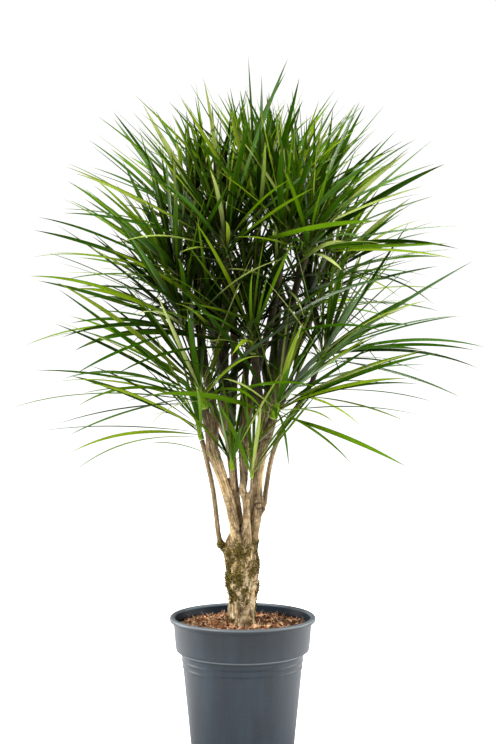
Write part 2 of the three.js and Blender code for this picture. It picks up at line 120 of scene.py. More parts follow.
def seen_or_lit(tree, lit, seen):
    """A brightness that differs between what the camera sees and what lights the plant."""
    is_seen = put(tree, "ShaderNodeLightPath").outputs["Is Camera Ray"]
    return put(tree, "ShaderNodeMapRange", {"Value": is_seen, "To Min": lit, "To Max": seen}).outputs[0]


glow = seen_or_lit(sky.node_tree, SKY_LIGHT, SKY_SEEN)
paper = put(sky.node_tree, "ShaderNodeBackground", {"Color": (1, 1, 1, 1), "Strength": glow})
put(sky.node_tree, "ShaderNodeOutputWorld", {"Surface": paper.outputs[0]})
scene.world = sky


def add_light(name, place, size, power, aim=(0, 0, 0.65)):
    light = bpy.data.objects.new(name, bpy.data.lights.new(name, "AREA"))
    light.data.shape = "DISK"
    light.data.size = size
    light.data.energy = power
    light.location = place
    light.rotation_mode = "QUATERNION"
    light.rotation_quaternion = (Vector(aim) - light.location).to_track_quat("-Z", "Y")
    scene.collection.objects.link(light)


add_light("key_light", (-2.3, -1.7, 2.4), size=0.9, power=158)
add_light("fill_light", (2.8, -0.9, 1.5), size=1.2, power=85)
add_light("top_light", (0.2, 0.2, 2.9), size=1.2, power=110)
add_light("left_wall", (-1.9, 0.5, 0.5), size=1.0, power=36, aim=(0, 0, 0.3))
add_light("right_wall", (1.9, 0.5, 0.5), size=1.0, power=25, aim=(0, 0, 0.3))

floor_finish = bpy.data.materials.new("pale_floor")
floor_finish.use_nodes = True
floor_shader = floor_finish.node_tree.nodes["Principled BSDF"]
floor_shader.inputs["Base Color"].default_value = (0.9, 0.9, 0.9, 1)
floor_shader.inputs["Roughness"].default_value = 0.9
floor_shader.inputs["Emission Color"].default_value = (1, 1, 1, 1)
floor_glow = seen_or_lit(floor_finish.node_tree, FLOOR_GLOW, FLOOR_SEEN)
floor_finish.node_tree.links.new(floor_glow, floor_shader.inputs["Emission Strength"])

floor_mesh = bpy.data.meshes.new("floor")
floor_corners = [(x * FLOOR_SIZE, y * FLOOR_SIZE, 0) for x, y in ((-1, -1), (1, -1), (1, 1), (-1, 1))]
floor_mesh.from_pydata(floor_corners, [], [(0, 1, 2, 3)])
floor_mesh.materials.append(floor_finish)
floor = bpy.data.objects.new("floor", floor_mesh)
scene.collection.objects.link(floor)

# %% [markdown]
# ## Helpers for finishes
# Every finish is a small tree of nodes: some noise or an attribute of the piece, a ramp that turns it into
# colour, and a bump for what is too fine to model. These helpers keep each finish short enough to read.

# %% Finish helpers
def new_finish(name, roughness, specular=0.5):
    finish = bpy.data.materials.new(name)
    finish.use_nodes = True
    shader = finish.node_tree.nodes["Principled BSDF"]
    shader.inputs["Roughness"].default_value = roughness
    shader.inputs["Specular IOR Level"].default_value = specular
    return finish, finish.node_tree, shader


def colour_ramp(tree, value, stops):
    """Turns a value into a colour through stops of position: (red, green, blue)."""
    node = put(tree, "ShaderNodeValToRGB", {"Fac": value})
    elements = node.color_ramp.elements
    elements.remove(elements[0])
    for i, (position, colour) in enumerate(stops.items()):
        element = elements[0] if i == 0 else elements.new(position)
        element.position = position
        element.color = (*colour, 1)
    return node.outputs["Color"]


def mixed(tree, share, first, second, way="MIX"):
    """Mixes two colours, the second by its share."""
    node = put(tree, "ShaderNodeMix", {0: share}, data_type="RGBA", blend_type=way)
    for index, colour in ((6, first), (7, second)):
        if isinstance(colour, bpy.types.NodeSocket):
            tree.links.new(colour, node.inputs[index])
        else:
            node.inputs[index].default_value = (*colour, 1)
    return node.outputs[2]


def layered(tree, colour, *layers):
    """Lays colours over a colour. Each layer is its share and its colour."""
    for share, over in layers:
        colour = mixed(tree, share, colour, over)
    return colour


def maths(tree, kind, a, b=0.0):
    return put(tree, "ShaderNodeMath", {0: a, 1: b}, operation=kind).outputs[0]


def product(tree, value, *factors):
    for factor in factors:
        value = maths(tree, "MULTIPLY", value, factor)
    return value


def rest_of(tree, share):
    return maths(tree, "SUBTRACT", 1.0, share)


def vectors(tree, kind, a, b=(0, 0, 0)):
    """A vector worked out from a and b. LENGTH, DISTANCE and DOT_PRODUCT give a number."""
    node = put(tree, "ShaderNodeVectorMath", {0: a, "Scale" if kind == "SCALE" else 1: b}, operation=kind)
    return node.outputs["Value" if kind in ("LENGTH", "DISTANCE", "DOT_PRODUCT") else 0]


def eased(tree, value, start, end):
    """Rises smoothly from 0 to 1 while the value goes from start to end."""
    inputs = {"Value": value, "From Min": start, "From Max": end}
    return put(tree, "ShaderNodeMapRange", inputs, interpolation_type="SMOOTHSTEP").outputs[0]


def grain(tree, place, scale, stretch=(1, 1, 1), detail=4.0, rough=0.55):
    """Noise of so many lumps a metre, drawn out where its stretch is under 1."""
    drawn = vectors(tree, "MULTIPLY", place, stretch)
    inputs = {"Vector": drawn, "Scale": scale, "Detail": detail, "Roughness": rough}
    return put(tree, "ShaderNodeTexNoise", inputs).outputs[0]


def attribute(tree, name, output="Fac"):
    return put(tree, "ShaderNodeAttribute", attribute_name=name).outputs[output]


def own_place(tree):
    return put(tree, "ShaderNodeTexCoord").outputs["Object"]


def height_of(tree, place):
    return put(tree, "ShaderNodeSeparateXYZ", {0: place}).outputs["Z"]


def distance_from_axis(tree, place):
    return vectors(tree, "LENGTH", vectors(tree, "MULTIPLY", place, (1, 1, 0)))


def add_bump(tree, shader, height, distance, strength=1.0):
    bump = put(tree, "ShaderNodeBump", {"Height": height, "Distance": distance, "Strength": strength})
    tree.links.new(bump.outputs[0], shader.inputs["Normal"])


# %% [markdown]
# ## Helpers for shapes
# A round piece is an outline turned about the axis. What repeats or follows a path is grown by a Geometry
# Nodes tree, run once on a small guide mesh, and then kept as a plain mesh.

# %% Shape helpers
def smoothed(mesh, crease=40):
    """Shades a mesh smooth but for edges sharper than the crease, in degrees."""
    mesh.shade_smooth()
    mesh.set_sharp_from_angle(angle=math.radians(crease))
    return mesh


def add_piece(name, mesh, crease=40):
    """Makes a mesh into a smooth object at the origin."""
    mesh.name = name
    piece = bpy.data.objects.new(name, smoothed(mesh, crease))
    scene.collection.objects.link(piece)
    return piece


def mesh_of(name, points, edges=(), faces=(), **point_values):
    """A mesh with a named value, or vector, at each of its points."""
    mesh = bpy.data.meshes.new(name)
    mesh.from_pydata([tuple(p) for p in points], list(edges), list(faces))
    for key, values in point_values.items():
        values = np.asarray(values, dtype=np.float32)
        kind, field = ("FLOAT_VECTOR", "vector") if values.ndim == 2 else ("FLOAT", "value")
        mesh.attributes.new(key, kind, "POINT").data.foreach_set(field, values.ravel())
    return mesh


def rounded(corners, steps=5):
    """Turns (radius, z, corner radius) in mm into (radius, z) in metres, with arcs at the corners."""
    outline = []
    for i, (r, z, bend) in enumerate(corners):
        here = Vector((r, z))
        if bend == 0 or i in (0, len(corners) - 1):
            outline.append(here * MM)
            continue
        before = (Vector(corners[i - 1][:2]) - here).normalized()
        after = (Vector(corners[i + 1][:2]) - here).normalized()
        half = before.angle(after) / 2
        reach = bend / math.tan(half)
        middle = here + (before + after).normalized() * (bend / math.sin(half))
        first, last = here + before * reach - middle, here + after * reach - middle
        for k in range(steps + 1):
            spoke = first.slerp(last, k / steps).normalized() * bend
            outline.append((middle + spoke) * MM)
    return outline


def turned(outline, sides):
    """The points and faces of an outline turned about the Z axis. It starts and ends on the axis."""
    rings = outline[1:-1]
    points = [(0, 0, outline[0][1])]
    for radius, z in rings:
        for k in range(sides):
            angle = 2 * math.pi * k / sides
            points.append((radius * math.cos(angle), radius * math.sin(angle), z))
    points.append((0, 0, outline[-1][1]))
    faces = []
    for k in range(sides):
        after = (k + 1) % sides
        faces.append((0, 1 + after, 1 + k))
        for ring in range(len(rings) - 1):
            low, high = 1 + ring * sides, 1 + (ring + 1) * sides
            faces.append((low + k, low + after, high + after, high + k))
        last = 1 + (len(rings) - 1) * sides
        faces.append((last + k, last + after, len(points) - 1))
    return points, faces


# %% Tree helpers
SOCKET_KINDS = {float: "NodeSocketFloat", int: "NodeSocketInt", bpy.types.Object: "NodeSocketObject"}


def new_tree(name, sizes):
    """A Geometry Nodes tree with a named input for each size. Gives the tree, its inputs and its end."""
    tree = bpy.data.node_groups.new(name, "GeometryNodeTree")
    tree.interface.new_socket("Geometry", in_out="INPUT", socket_type="NodeSocketGeometry")
    for label, value in sizes.items():
        socket = tree.interface.new_socket(label, in_out="INPUT", socket_type=SOCKET_KINDS[type(value)])
        if not isinstance(value, bpy.types.Object):
            socket.default_value = value
    tree.interface.new_socket("Geometry", in_out="OUTPUT", socket_type="NodeSocketGeometry")
    return tree, put(tree, "NodeGroupInput").outputs, put(tree, "NodeGroupOutput")


def made_real(tree, copies):
    return put(tree, "GeometryNodeRealizeInstances", {"Geometry": copies}).outputs[0]


def end_tree(tree, end, geometry, finish):
    """Ends a tree with its copies made real and its finish set."""
    inputs = {"Geometry": made_real(tree, geometry), "Material": finish}
    tree.links.new(put(tree, "GeometryNodeSetMaterial", inputs).outputs[0], end.inputs[0])


def heaped(tree, *parts):
    """Joins parts into one geometry."""
    heap = put(tree, "GeometryNodeJoinGeometry")
    for part in parts:
        tree.links.new(part, heap.inputs[0])
    return heap.outputs[0]


def place_of(tree):
    return put(tree, "GeometryNodeInputPosition").outputs[0]


def moved(tree, geometry, shift):
    return put(tree, "GeometryNodeSetPosition", {"Geometry": geometry, "Offset": shift}).outputs[0]


def grown(guide, tree, sizes):
    """Runs a tree on a guide mesh and gives the plain mesh that it makes."""
    seedling = bpy.data.objects.new("guide", guide)
    scene.collection.objects.link(seedling)
    growth = seedling.modifiers.new("growth", "NODES")
    growth.node_group = tree
    for socket in tree.interface.items_tree:
        if socket.in_out == "INPUT" and socket.name in sizes:
            growth[socket.identifier] = sizes[socket.name]
    graph = bpy.context.evaluated_depsgraph_get()
    mesh = bpy.data.meshes.new_from_object(
        seedling.evaluated_get(graph), preserve_all_data_layers=True, depsgraph=graph)
    seedling.modifiers.remove(growth)
    bpy.data.objects.remove(seedling)
    return mesh


def named(tree, name, kind="FLOAT"):
    """An attribute of the geometry, read inside a tree."""
    return put(tree, "GeometryNodeInputNamedAttribute", {"Name": name}, data_type=kind).outputs["Attribute"]


def stored(tree, geometry, name, value, kind="FLOAT", domain="POINT"):
    """Keeps a value on the geometry under a name, for later nodes and for the finish."""
    inputs = {"Geometry": geometry, "Name": name, "Value": value}
    return put(tree, "GeometryNodeStoreNamedAttribute", inputs, data_type=kind, domain=domain).outputs[0]


def triangles(mesh):
    mesh.calc_loop_triangles()
    return len(mesh.loop_triangles)


# %% [markdown]
# ## The pot
# The real pot is injection-moulded: a thin tapered wall, a collar that steps out so that empty pots stack,
# a rolled rim to lift it by, and drain holes in the floor. It could be built from cylinders and bevels. One
# outline turned about the axis is closer to the mould, and each corner gets its own radius. Two soft ribs
# below the step catch the light as faint lines.

# %% Pot sizes and outline
POT_HEIGHT, RIM_RADIUS, RIM_ROLL = 228, 122, 8
COLLAR_TOP_RADIUS, COLLAR_FOOT_RADIUS, COLLAR_FOOT_Z = 116, 112, 172
BEAD_RADIUS, BODY_TOP_RADIUS, BASE_RADIUS, WALL = 105.5, 103, 85.5, 2
FOOT_HEIGHT, FOOT_RING_WIDTH, MIDDLE_DISC_RADIUS, FLOOR_TOP_Z = 4, 9, 25, 6.5
RIBS_Z, RIB_PROUD, RIB_WIDTH = (144, 155), 0.9, 2
POT_SIDES = 160


def taper_radius(z):
    """Outer radius of the tapered body, in mm."""
    return BASE_RADIUS + (BODY_TOP_RADIUS - BASE_RADIUS) * z / COLLAR_FOOT_Z


def wall_radius(z):
    """The same, with the soft ribs."""
    return taper_radius(z) + RIB_PROUD * sum(math.exp(-((z - rib) / RIB_WIDTH) ** 2) for rib in RIBS_Z)


def wall_inside(z):
    return taper_radius(z) - WALL


def collar_inside(z):
    share = (z - COLLAR_FOOT_Z) / (POT_HEIGHT - COLLAR_FOOT_Z)
    return COLLAR_FOOT_RADIUS + (COLLAR_TOP_RADIUS - COLLAR_FOOT_RADIUS) * share - WALL


ring_inside = BASE_RADIUS - FOOT_RING_WIDTH
pot_corners = [
    (0, 0, 0), (MIDDLE_DISC_RADIUS, 0, 1), (MIDDLE_DISC_RADIUS + 2, FOOT_HEIGHT, 1),
    (ring_inside - 2, FOOT_HEIGHT, 1), (ring_inside, 0, 1), (BASE_RADIUS, 0, 2.5),
    *[(wall_radius(z), z, 0) for z in (6, 40, 80, 120, 136)],
    *[(wall_radius(z), z, 0) for z in range(140, 161)],
    (BODY_TOP_RADIUS, COLLAR_FOOT_Z - 7, 1), (BEAD_RADIUS, COLLAR_FOOT_Z - 5, 1),
    (BEAD_RADIUS, COLLAR_FOOT_Z - 2, 0.8), (COLLAR_FOOT_RADIUS - 1, COLLAR_FOOT_Z - 0.5, 0.8),
    (COLLAR_FOOT_RADIUS + 0.3, COLLAR_FOOT_Z + 4, 3),
    (COLLAR_TOP_RADIUS, POT_HEIGHT - RIM_ROLL - 1, 1.5), (RIM_RADIUS, POT_HEIGHT - RIM_ROLL, 2.4),
    (RIM_RADIUS, POT_HEIGHT, 3.2), (collar_inside(POT_HEIGHT), POT_HEIGHT, 3),
    (collar_inside(COLLAR_FOOT_Z), COLLAR_FOOT_Z + 3, 2), (wall_inside(COLLAR_FOOT_Z), COLLAR_FOOT_Z - 4, 2),
    (wall_inside(0), FLOOR_TOP_Z, 3), (0, FLOOR_TOP_Z, 0),
]
pot_points, pot_faces = turned(rounded(pot_corners), POT_SIDES)
print("pot outline points:", len(pot_points) // POT_SIDES)

# %% Drain holes
DRAIN_HOLES, DRAIN_HOLE_RADIUS, DRAIN_CIRCLE_RADIUS = 8, 5, 50
DRILL_SIDES, DRILL_DEPTH = 32, 30
DRILL_TURN = 0.07  # in radians, which keeps the corners of a hole off the edges of the floor
HAIR = 0.02 * MM


def welded(mesh):
    """Merges points that a cut has left less than a hair apart."""
    weld = bmesh.new()
    weld.from_mesh(mesh)
    bmesh.ops.remove_doubles(weld, verts=weld.verts, dist=HAIR)
    bmesh.ops.dissolve_degenerate(weld, edges=weld.edges, dist=HAIR)
    bmesh.ops.triangulate(weld, faces=[face for face in weld.faces if len(face.verts) > 4])
    weld.to_mesh(mesh)
    weld.free()
    return mesh


def drilled(piece, places, radius):
    """Cuts upright round holes through the foot of a piece."""
    drills = []
    for x, y in places:
        bpy.ops.mesh.primitive_cylinder_add(vertices=DRILL_SIDES, radius=radius, depth=DRILL_DEPTH * MM,
                                            location=(x, y, 0), rotation=(0, 0, DRILL_TURN))
        drills.append(bpy.context.object)
        cut = piece.modifiers.new("drain", "BOOLEAN")
        cut.object = drills[-1]
    graph = bpy.context.evaluated_depsgraph_get()
    mesh = bpy.data.meshes.new_from_object(piece.evaluated_get(graph))
    piece.modifiers.clear()
    piece.data = smoothed(welded(mesh))
    for drill in drills:
        bpy.data.objects.remove(drill)


pot = add_piece("pot_moulding", mesh_of("pot", pot_points, faces=pot_faces))
drain_angles = [2 * math.pi * k / DRAIN_HOLES for k in range(DRAIN_HOLES)]
drain_reach = DRAIN_CIRCLE_RADIUS * MM
drain_places = [(drain_reach * math.cos(angle), drain_reach * math.sin(angle)) for angle in drain_angles]
drilled(pot, drain_places, DRAIN_HOLE_RADIUS * MM)
print("pot triangles:", triangles(pot.data))

# %% [markdown]
# The plastic is slate-grey and satin, with a rim rubbed paler by handling, faint watery stains that run
# down, and the very fine grain of a blasted mould. Painted shade darkens the collar, a painted highlight
# runs along the bead under it, and inside the collar painted shade gives the plastic a bluer tint and less
# shine.

# %% Pot finish
def make_plastic_finish():
    finish, tree, shader = new_finish("slate_plastic", roughness=0.42)
    place = own_place(tree)
    height = height_of(tree, place)

    def above(level, over):
        """1 over a height and 0 under it, in mm, easing from the one to the other."""
        return eased(tree, height, level * MM, (level + over) * MM)

    stains = grain(tree, place, 38, stretch=(1, 1, 0.16))
    colour = colour_ramp(tree, stains, {0.3: (0.005, 0.01, 0.016), 0.55: (0.009, 0.017, 0.026),
                                        0.8: (0.017, 0.028, 0.04)})
    dust = eased(tree, grain(tree, place, 300, detail=6, rough=0.7), 0.55, 0.75)
    colour = mixed(tree, product(tree, dust, 0.2), colour, (0.12, 0.12, 0.115))
    # Painted shade: the collar is painted darker than the body.
    collar_shade = product(tree, above(COLLAR_FOOT_Z, 30), 0.5)
    colour = mixed(tree, collar_shade, colour, (0.4, 0.45, 0.5), "MULTIPLY")
    rim = above(POT_HEIGHT - 0.6 * RIM_ROLL, 0.4 * RIM_ROLL)
    # The rim is rubbed paler by handling; the pale band on the bead under the collar is a painted highlight.
    bead_highlight = product(tree, above(COLLAR_FOOT_Z - 4.5, 1.5), above(COLLAR_FOOT_Z, -1.5))
    rubbed_rim_and_bead_highlight = maths(tree, "MAXIMUM", rim, bead_highlight)
    colour = mixed(tree, product(tree, rubbed_rim_and_bead_highlight, 0.6), colour, (0.2, 0.225, 0.24))
    # Painted shade inside the collar: a bluer tint, and less shine.
    reach = distance_from_axis(tree, place)
    inside_shade = eased(tree, reach, (COLLAR_TOP_RADIUS - 1.4) * MM, (COLLAR_TOP_RADIUS - 1.9) * MM)
    inside_shade = product(tree, inside_shade, above(POT_HEIGHT - 23, 4))
    colour = mixed(tree, inside_shade, colour, (1.0, 1.1, 1.15), "MULTIPLY")
    tree.links.new(colour, shader.inputs["Base Color"])
    shine = product(tree, maths(tree, "SUBTRACT", 1.5, inside_shade), 0.26)
    tree.links.new(shine, shader.inputs["Specular IOR Level"])
    gloss = put(tree, "ShaderNodeMapRange", {"Value": stains, "To Min": 0.36, "To Max": 0.52}).outputs[0]
    tree.links.new(gloss, shader.inputs["Roughness"])
    add_bump(tree, shader, grain(tree, place, 1500, detail=2), 0.0001, 0.3)
    return finish


pot.data.materials.clear()
pot.data.materials.append(make_plastic_finish())
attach(pot, "root")
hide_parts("pot")

# %% [markdown]
# ## The soil
# The bed is coir and bark: lumps, flakes, loose fibres, and a few cream bits of husk. A rough surface alone
# would look like mud, so the bed is a closed body with a lumpy top, and a Geometry Nodes tree scatters real
# chips, fibres and bits over it. Each copy keeps a random number, so that the finish can give each its own
# brown.

# %% Soil bed
SOIL_TOP_Z, SOIL_RELIEF, SOIL_SIDES, SOIL_RINGS = 212, 2.4, 144, 44
TRUNK_ROOT_RADIUS, TRUNK_FOOT_Z = 19.5, 140
GAP = 0.3


def soil_height(x, y):
    """Height of the bed over its mean level, at a place in mm."""
    broad = math.sin(x * 0.11 + 1) * math.cos(y * 0.13)
    fine = math.sin(x * 0.29 + y * 0.23)
    crumbs = noise.noise(Vector((x, y, 0)) * 0.35) + 0.6 * noise.noise(Vector((x, y, 5)) * 0.9)
    return SOIL_RELIEF * (broad + 0.6 * fine) + 1.3 * crumbs


soil_edge = collar_inside(SOIL_TOP_Z) - 2 * GAP
hole_radius = TRUNK_ROOT_RADIUS + 2 * GAP
hole_floor_z = TRUNK_FOOT_Z - GAP
soil_corners = [
    (0, FLOOR_TOP_Z + GAP, 0), (wall_inside(0) - GAP, FLOOR_TOP_Z + GAP, 0),
    (wall_inside(COLLAR_FOOT_Z) - GAP, COLLAR_FOOT_Z - 4, 0),
    (collar_inside(COLLAR_FOOT_Z) - GAP, COLLAR_FOOT_Z + 3 + GAP, 0),
    *[(r, SOIL_TOP_Z, 0) for r in np.linspace(soil_edge, hole_radius, SOIL_RINGS)],
    (hole_radius, hole_floor_z, 0), (0, hole_floor_z, 0),
]
bed_points, bed_faces = turned(rounded(soil_corners), SOIL_SIDES)
bed_points = [
    Vector((x, y, z + soil_height(x / MM, y / MM) * MM if abs(z - SOIL_TOP_Z * MM) < MM else z))
    for x, y, z in bed_points
]
soil_bed = mesh_of("soil", bed_points, faces=bed_faces)
print("soil bed:", len(bed_faces), "faces")

# %% Litter tree
# Copies for each square metre, and how far from the axis and how deep they lie, in metres.
LITTER = {"Chips": 42000.0, "Fibres": 70000.0, "Bits": 3200.0, "Standing": 7000.0, "Seed": 3}
LITTER_REACH, LITTER_DEPTH = 0.101, 0.009


def random_vector(tree, low, high, seed):
    inputs = {0: low, 1: high, "Seed": seed}
    return put(tree, "FunctionNodeRandomValue", inputs, data_type="FLOAT_VECTOR").outputs[0]


def random_number(tree, low, high, seed):
    return put(tree, "FunctionNodeRandomValue", {2: low, 3: high, "Seed": seed}).outputs[1]


def spread_points(tree, ground, density, seed):
    inputs = {"Mesh": ground, "Density": density, "Seed": seed}
    return put(tree, "GeometryNodeDistributePointsOnFaces", inputs).outputs


def thread_shape(tree, segments):
    """A straight thread, one unit long and thick."""
    inputs = {"Vertices": 3, "Side Segments": segments, "Radius": 0.5, "Depth": 1.0}
    return put(tree, "GeometryNodeMeshCylinder", inputs, fill_type="TRIANGLE_FAN").outputs[0]


def scattered(tree, ground, density, seed, shape, sizes, tilt):
    """Copies of a shape on a ground, each turned, leant and sized at random within the two sizes."""
    spots = spread_points(tree, ground, density, seed)
    turn = random_vector(tree, (-tilt, -tilt, 0), (tilt, tilt, 2 * math.pi), 1)
    size = random_vector(tree, *sizes, 2)
    copies = put(tree, "GeometryNodeInstanceOnPoints",
                 {"Points": spots[0], "Instance": shape, "Rotation": turn, "Scale": size})
    return stored(tree, copies.outputs[0], "tint", random_number(tree, 0.0, 1.0, 3), domain="INSTANCE")


def curled(tree, shapes):
    """Bends shapes that lie loose, each after its own place."""
    inputs = {"Vector": place_of(tree), "Scale": 130.0, "Detail": 2.0}
    wander = put(tree, "ShaderNodeTexNoise", inputs).outputs[1]
    centred = vectors(tree, "SUBTRACT", wander, (0.5, 0.5, 0.5))
    return moved(tree, shapes, vectors(tree, "SCALE", centred, 0.007))


def make_litter_tree(finish):
    tree, given, end = new_tree("soil_litter", LITTER)
    place = place_of(tree)
    beyond = maths(tree, "GREATER_THAN", distance_from_axis(tree, place), LITTER_REACH)
    under = maths(tree, "LESS_THAN", height_of(tree, place), SOIL_TOP_Z * MM - LITTER_DEPTH)
    off = put(tree, "FunctionNodeBooleanMath", {0: beyond, 1: under}, operation="OR").outputs[0]
    ground = put(tree, "GeometryNodeDeleteGeometry", {"Geometry": given["Geometry"], "Selection": off},
                 domain="FACE").outputs[0]
    flake = put(tree, "GeometryNodeMeshCube",
                {"Size": (1, 1, 1), "Vertices X": 3, "Vertices Y": 2, "Vertices Z": 2}).outputs[0]
    thread = thread_shape(tree, 5)
    crumb = put(tree, "GeometryNodeMeshIcoSphere", {"Radius": 0.5, "Subdivisions": 2}).outputs[0]
    litter = []
    for name, kind, shape, sizes, tilt in (
        ("Chips", 0.0, flake, ((0.003, 0.0018, 0.0008), (0.013, 0.0075, 0.003)), 0.6),
        ("Fibres", 1.0, thread, ((0.0003, 0.0003, 0.006), (0.0006, 0.0006, 0.02)), 1.5),
        ("Bits", 2.0, crumb, ((0.002, 0.002, 0.0015), (0.0075, 0.006, 0.005)), 0.5),
        ("Standing", 1.0, thread, ((0.0006, 0.0006, 0.01), (0.0012, 0.0012, 0.024)), 0.9),
    ):
        copies = scattered(tree, ground, given[name], given["Seed"], shape, sizes, tilt)
        litter.append(stored(tree, copies, "kind", kind, domain="INSTANCE"))
    loose = made_real(tree, heaped(tree, *litter))
    end_tree(tree, end, heaped(tree, curled(tree, loose), given["Geometry"]), finish)
    return tree


# %% [markdown]
# Dry coir is red-brown, with nearly black bark in it and straw-coloured fibres. The kind of each bit
# chooses its range of colours, and its random number the shade within it.

# %% Soil finish
def make_soil_finish():
    finish, tree, shader = new_finish("bark_and_coir", roughness=0.9, specular=0.2)
    place = own_place(tree)
    kind = attribute(tree, "kind")
    mottle = grain(tree, place, 260, detail=5, rough=0.65)
    shade = maths(tree, "ADD", product(tree, attribute(tree, "tint"), 0.75), product(tree, mottle, 0.25))
    brown = colour_ramp(tree, shade, {0.15: (0.012, 0.006, 0.004), 0.36: (0.11, 0.032, 0.014),
                                      0.58: (0.38, 0.14, 0.055), 0.8: (0.78, 0.5, 0.28)})
    straw = colour_ramp(tree, shade, {0.2: (0.16, 0.07, 0.03), 0.6: (0.42, 0.24, 0.12),
                                      0.9: (0.6, 0.42, 0.26)})
    cream = colour_ramp(tree, shade, {0.2: (0.5, 0.36, 0.22), 0.8: (0.82, 0.72, 0.55)})
    damp = eased(tree, grain(tree, place, 28, detail=3), 0.5, 0.38)
    colour = layered(tree, brown, (eased(tree, kind, 0.4, 0.6), straw), (eased(tree, kind, 1.4, 1.6), cream),
                     (product(tree, damp, 0.7), (0.022, 0.009, 0.005)))
    tree.links.new(colour, shader.inputs["Base Color"])
    add_bump(tree, shader, grain(tree, place, 900, detail=3), 0.0006, 0.7)
    return finish


soil_finish = make_soil_finish()
soil = add_piece("bark_soil", grown(soil_bed, make_litter_tree(soil_finish), LITTER))
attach(soil, "root")
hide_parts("soil")
print("soil triangles:", triangles(soil.data))

# %% [markdown]
# ## The wood
# Trunk and branches are one living piece, so they have to flow into each other. Each stem is a tube swept
# along its route, and the trunk is a stack of fluted rings. A voxel remesh turns the heap of tubes into one
# skin, a little smoothing fills the crotches as bark does, and a last tree raises the fibres, rings and
# furrows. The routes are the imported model's own.

# %% Routes of the stems, as x, y, z and radius in mm
STEMS = {
    "left_front": [(-5, -5, 340, 15), (-8, -8, 366, 13), (-13, -12, 390, 10.5), (-30, -26, 452, 8.8),
                   (-49, -39, 508, 10.5), (-53, -42, 532, 8), (-62, -54, 579, 7.5)],
    "left_low": [(-18, 3, 326, 8), (-32, 3, 343, 6), (-40, -2, 364, 4.5), (-49, -6, 438, 4.2),
                 (-63, -10, 504, 4.2), (-68, -10, 524, 4.6)],
    "left_side": [(-49, -37, 505, 8), (-46, -26, 540, 7), (-50, -18, 590, 6.5), (-62, -14, 640, 8),
                  (-78, -22, 668, 6), (-90, -28, 700, 6)],
    "left_high": [(-62, -14, 636, 7), (-66, -8, 680, 6), (-80, -14, 730, 6), (-100, -30, 783, 6)],
    "centre_left": [(-3, -8, 345, 11), (-5, -8, 380, 8), (-14, -12, 450, 6.8), (-20, -8, 524, 7),
                    (-18, 5, 573, 8), (-14, 14, 631, 6.5), (-14, 8, 690, 6.5), (-17, -22, 755, 6),
                    (-26, -50, 826, 6)],
    "front_shoot": [(-14, -12, 436, 6), (-16, -26, 458, 4.6), (-17, -33, 477, 4.6)],
    "middle_left": [(-18, 3, 568, 6.5), (-28, 3, 604, 6), (-38, 5, 676, 6)],
    "centre": [(6, -14, 350, 9), (7, -20, 385, 6.8), (5, -22, 424, 6.2), (0, -22, 441, 6.5),
               (0, -20, 460, 5), (-2, -10, 524, 5), (1, 0, 590, 5.5), (8, 0, 660, 6), (18, -8, 740, 6),
               (25, -25, 872, 6)],
    "centre_right": [(0, -20, 436, 5.5), (4, -10, 460, 5), (5, -6, 500, 5.5), (14, -6, 590, 6),
                     (30, -20, 660, 6), (50, -48, 740, 6), (66, -70, 838, 6)],
    "young_shoot": [(5, -22, 428, 4.5), (14, -27, 440, 3.4), (15, -30, 462, 3)],
    "right_front": [(13, -2, 345, 12), (16, -3, 368, 11), (24, -8, 408, 9.5), (27, -17, 461, 7),
                    (36, -29, 515, 7), (40, -32, 530, 9), (50, -46, 563, 7.5)],
    "middle_front": [(40, -32, 527, 7), (32, -28, 560, 7), (26, -37, 610, 7), (19, -50, 668, 7)],
    "right_low": [(26, -6, 400, 7), (36, 2, 417, 5), (39, 4, 439, 4.4), (49, -4, 496, 4.2),
                  (68, -12, 545, 4.4), (98, -18, 591, 4.2), (115, -22, 622, 4.3), (126, -27, 652, 5)],
    "right_high": [(18, 8, 350, 9), (21, 14, 390, 7.5), (25, 22, 470, 6.5), (33, 30, 537, 7),
                   (50, 40, 596, 8.5), (63, 30, 656, 6.5), (78, 0, 738, 9), (88, -20, 776, 6),
                   (103, -58, 828, 6)],
    "right_shoot": [(78, 0, 736, 6), (70, -12, 750, 5.5), (64, -20, 768, 5.5)],
    "right_top": [(78, 0, 736, 6.5), (92, 8, 790, 6), (102, 10, 868, 6)],
    "right_side": [(50, 40, 590, 7), (72, 46, 640, 6), (104, 50, 700, 6), (142, 46, 792, 6)],
    "back_right": [(8, 14, 345, 10), (12, 20, 378, 8.5), (20, 34, 440, 7), (31, 55, 520, 8), (45, 72, 600, 9),
                   (55, 80, 680, 7), (62, 84, 770, 6.5), (64, 75, 884, 6)],
    "back_right_low": [(31, 55, 516, 6.5), (46, 62, 546, 5.5), (72, 70, 590, 5)],
    "back_right_side": [(45, 72, 596, 7), (70, 88, 660, 6), (104, 106, 738, 6)],
    "back_middle": [(45, 72, 596, 7), (34, 90, 656, 6), (12, 118, 768, 6)],
    "back_left": [(-8, 12, 340, 10), (-9, 20, 376, 8.5), (-14, 32, 440, 7), (-22, 45, 520, 9),
                  (-32, 58, 600, 9), (-30, 68, 690, 6.5), (-30, 78, 790, 6), (-42, 85, 880, 6)],
    "back_left_low": [(-22, 45, 516, 7), (-38, 54, 546, 5.5), (-60, 70, 588, 5)],
    "back_left_side": [(-32, 58, 596, 7), (-42, 76, 650, 6), (-66, 106, 752, 6)],
    "left_top": [(-31, 60, 615, 7), (-48, 62, 685, 6.5), (-62, 58, 760, 6), (-74, 50, 846, 6)],
}
print("stems:", len(STEMS))

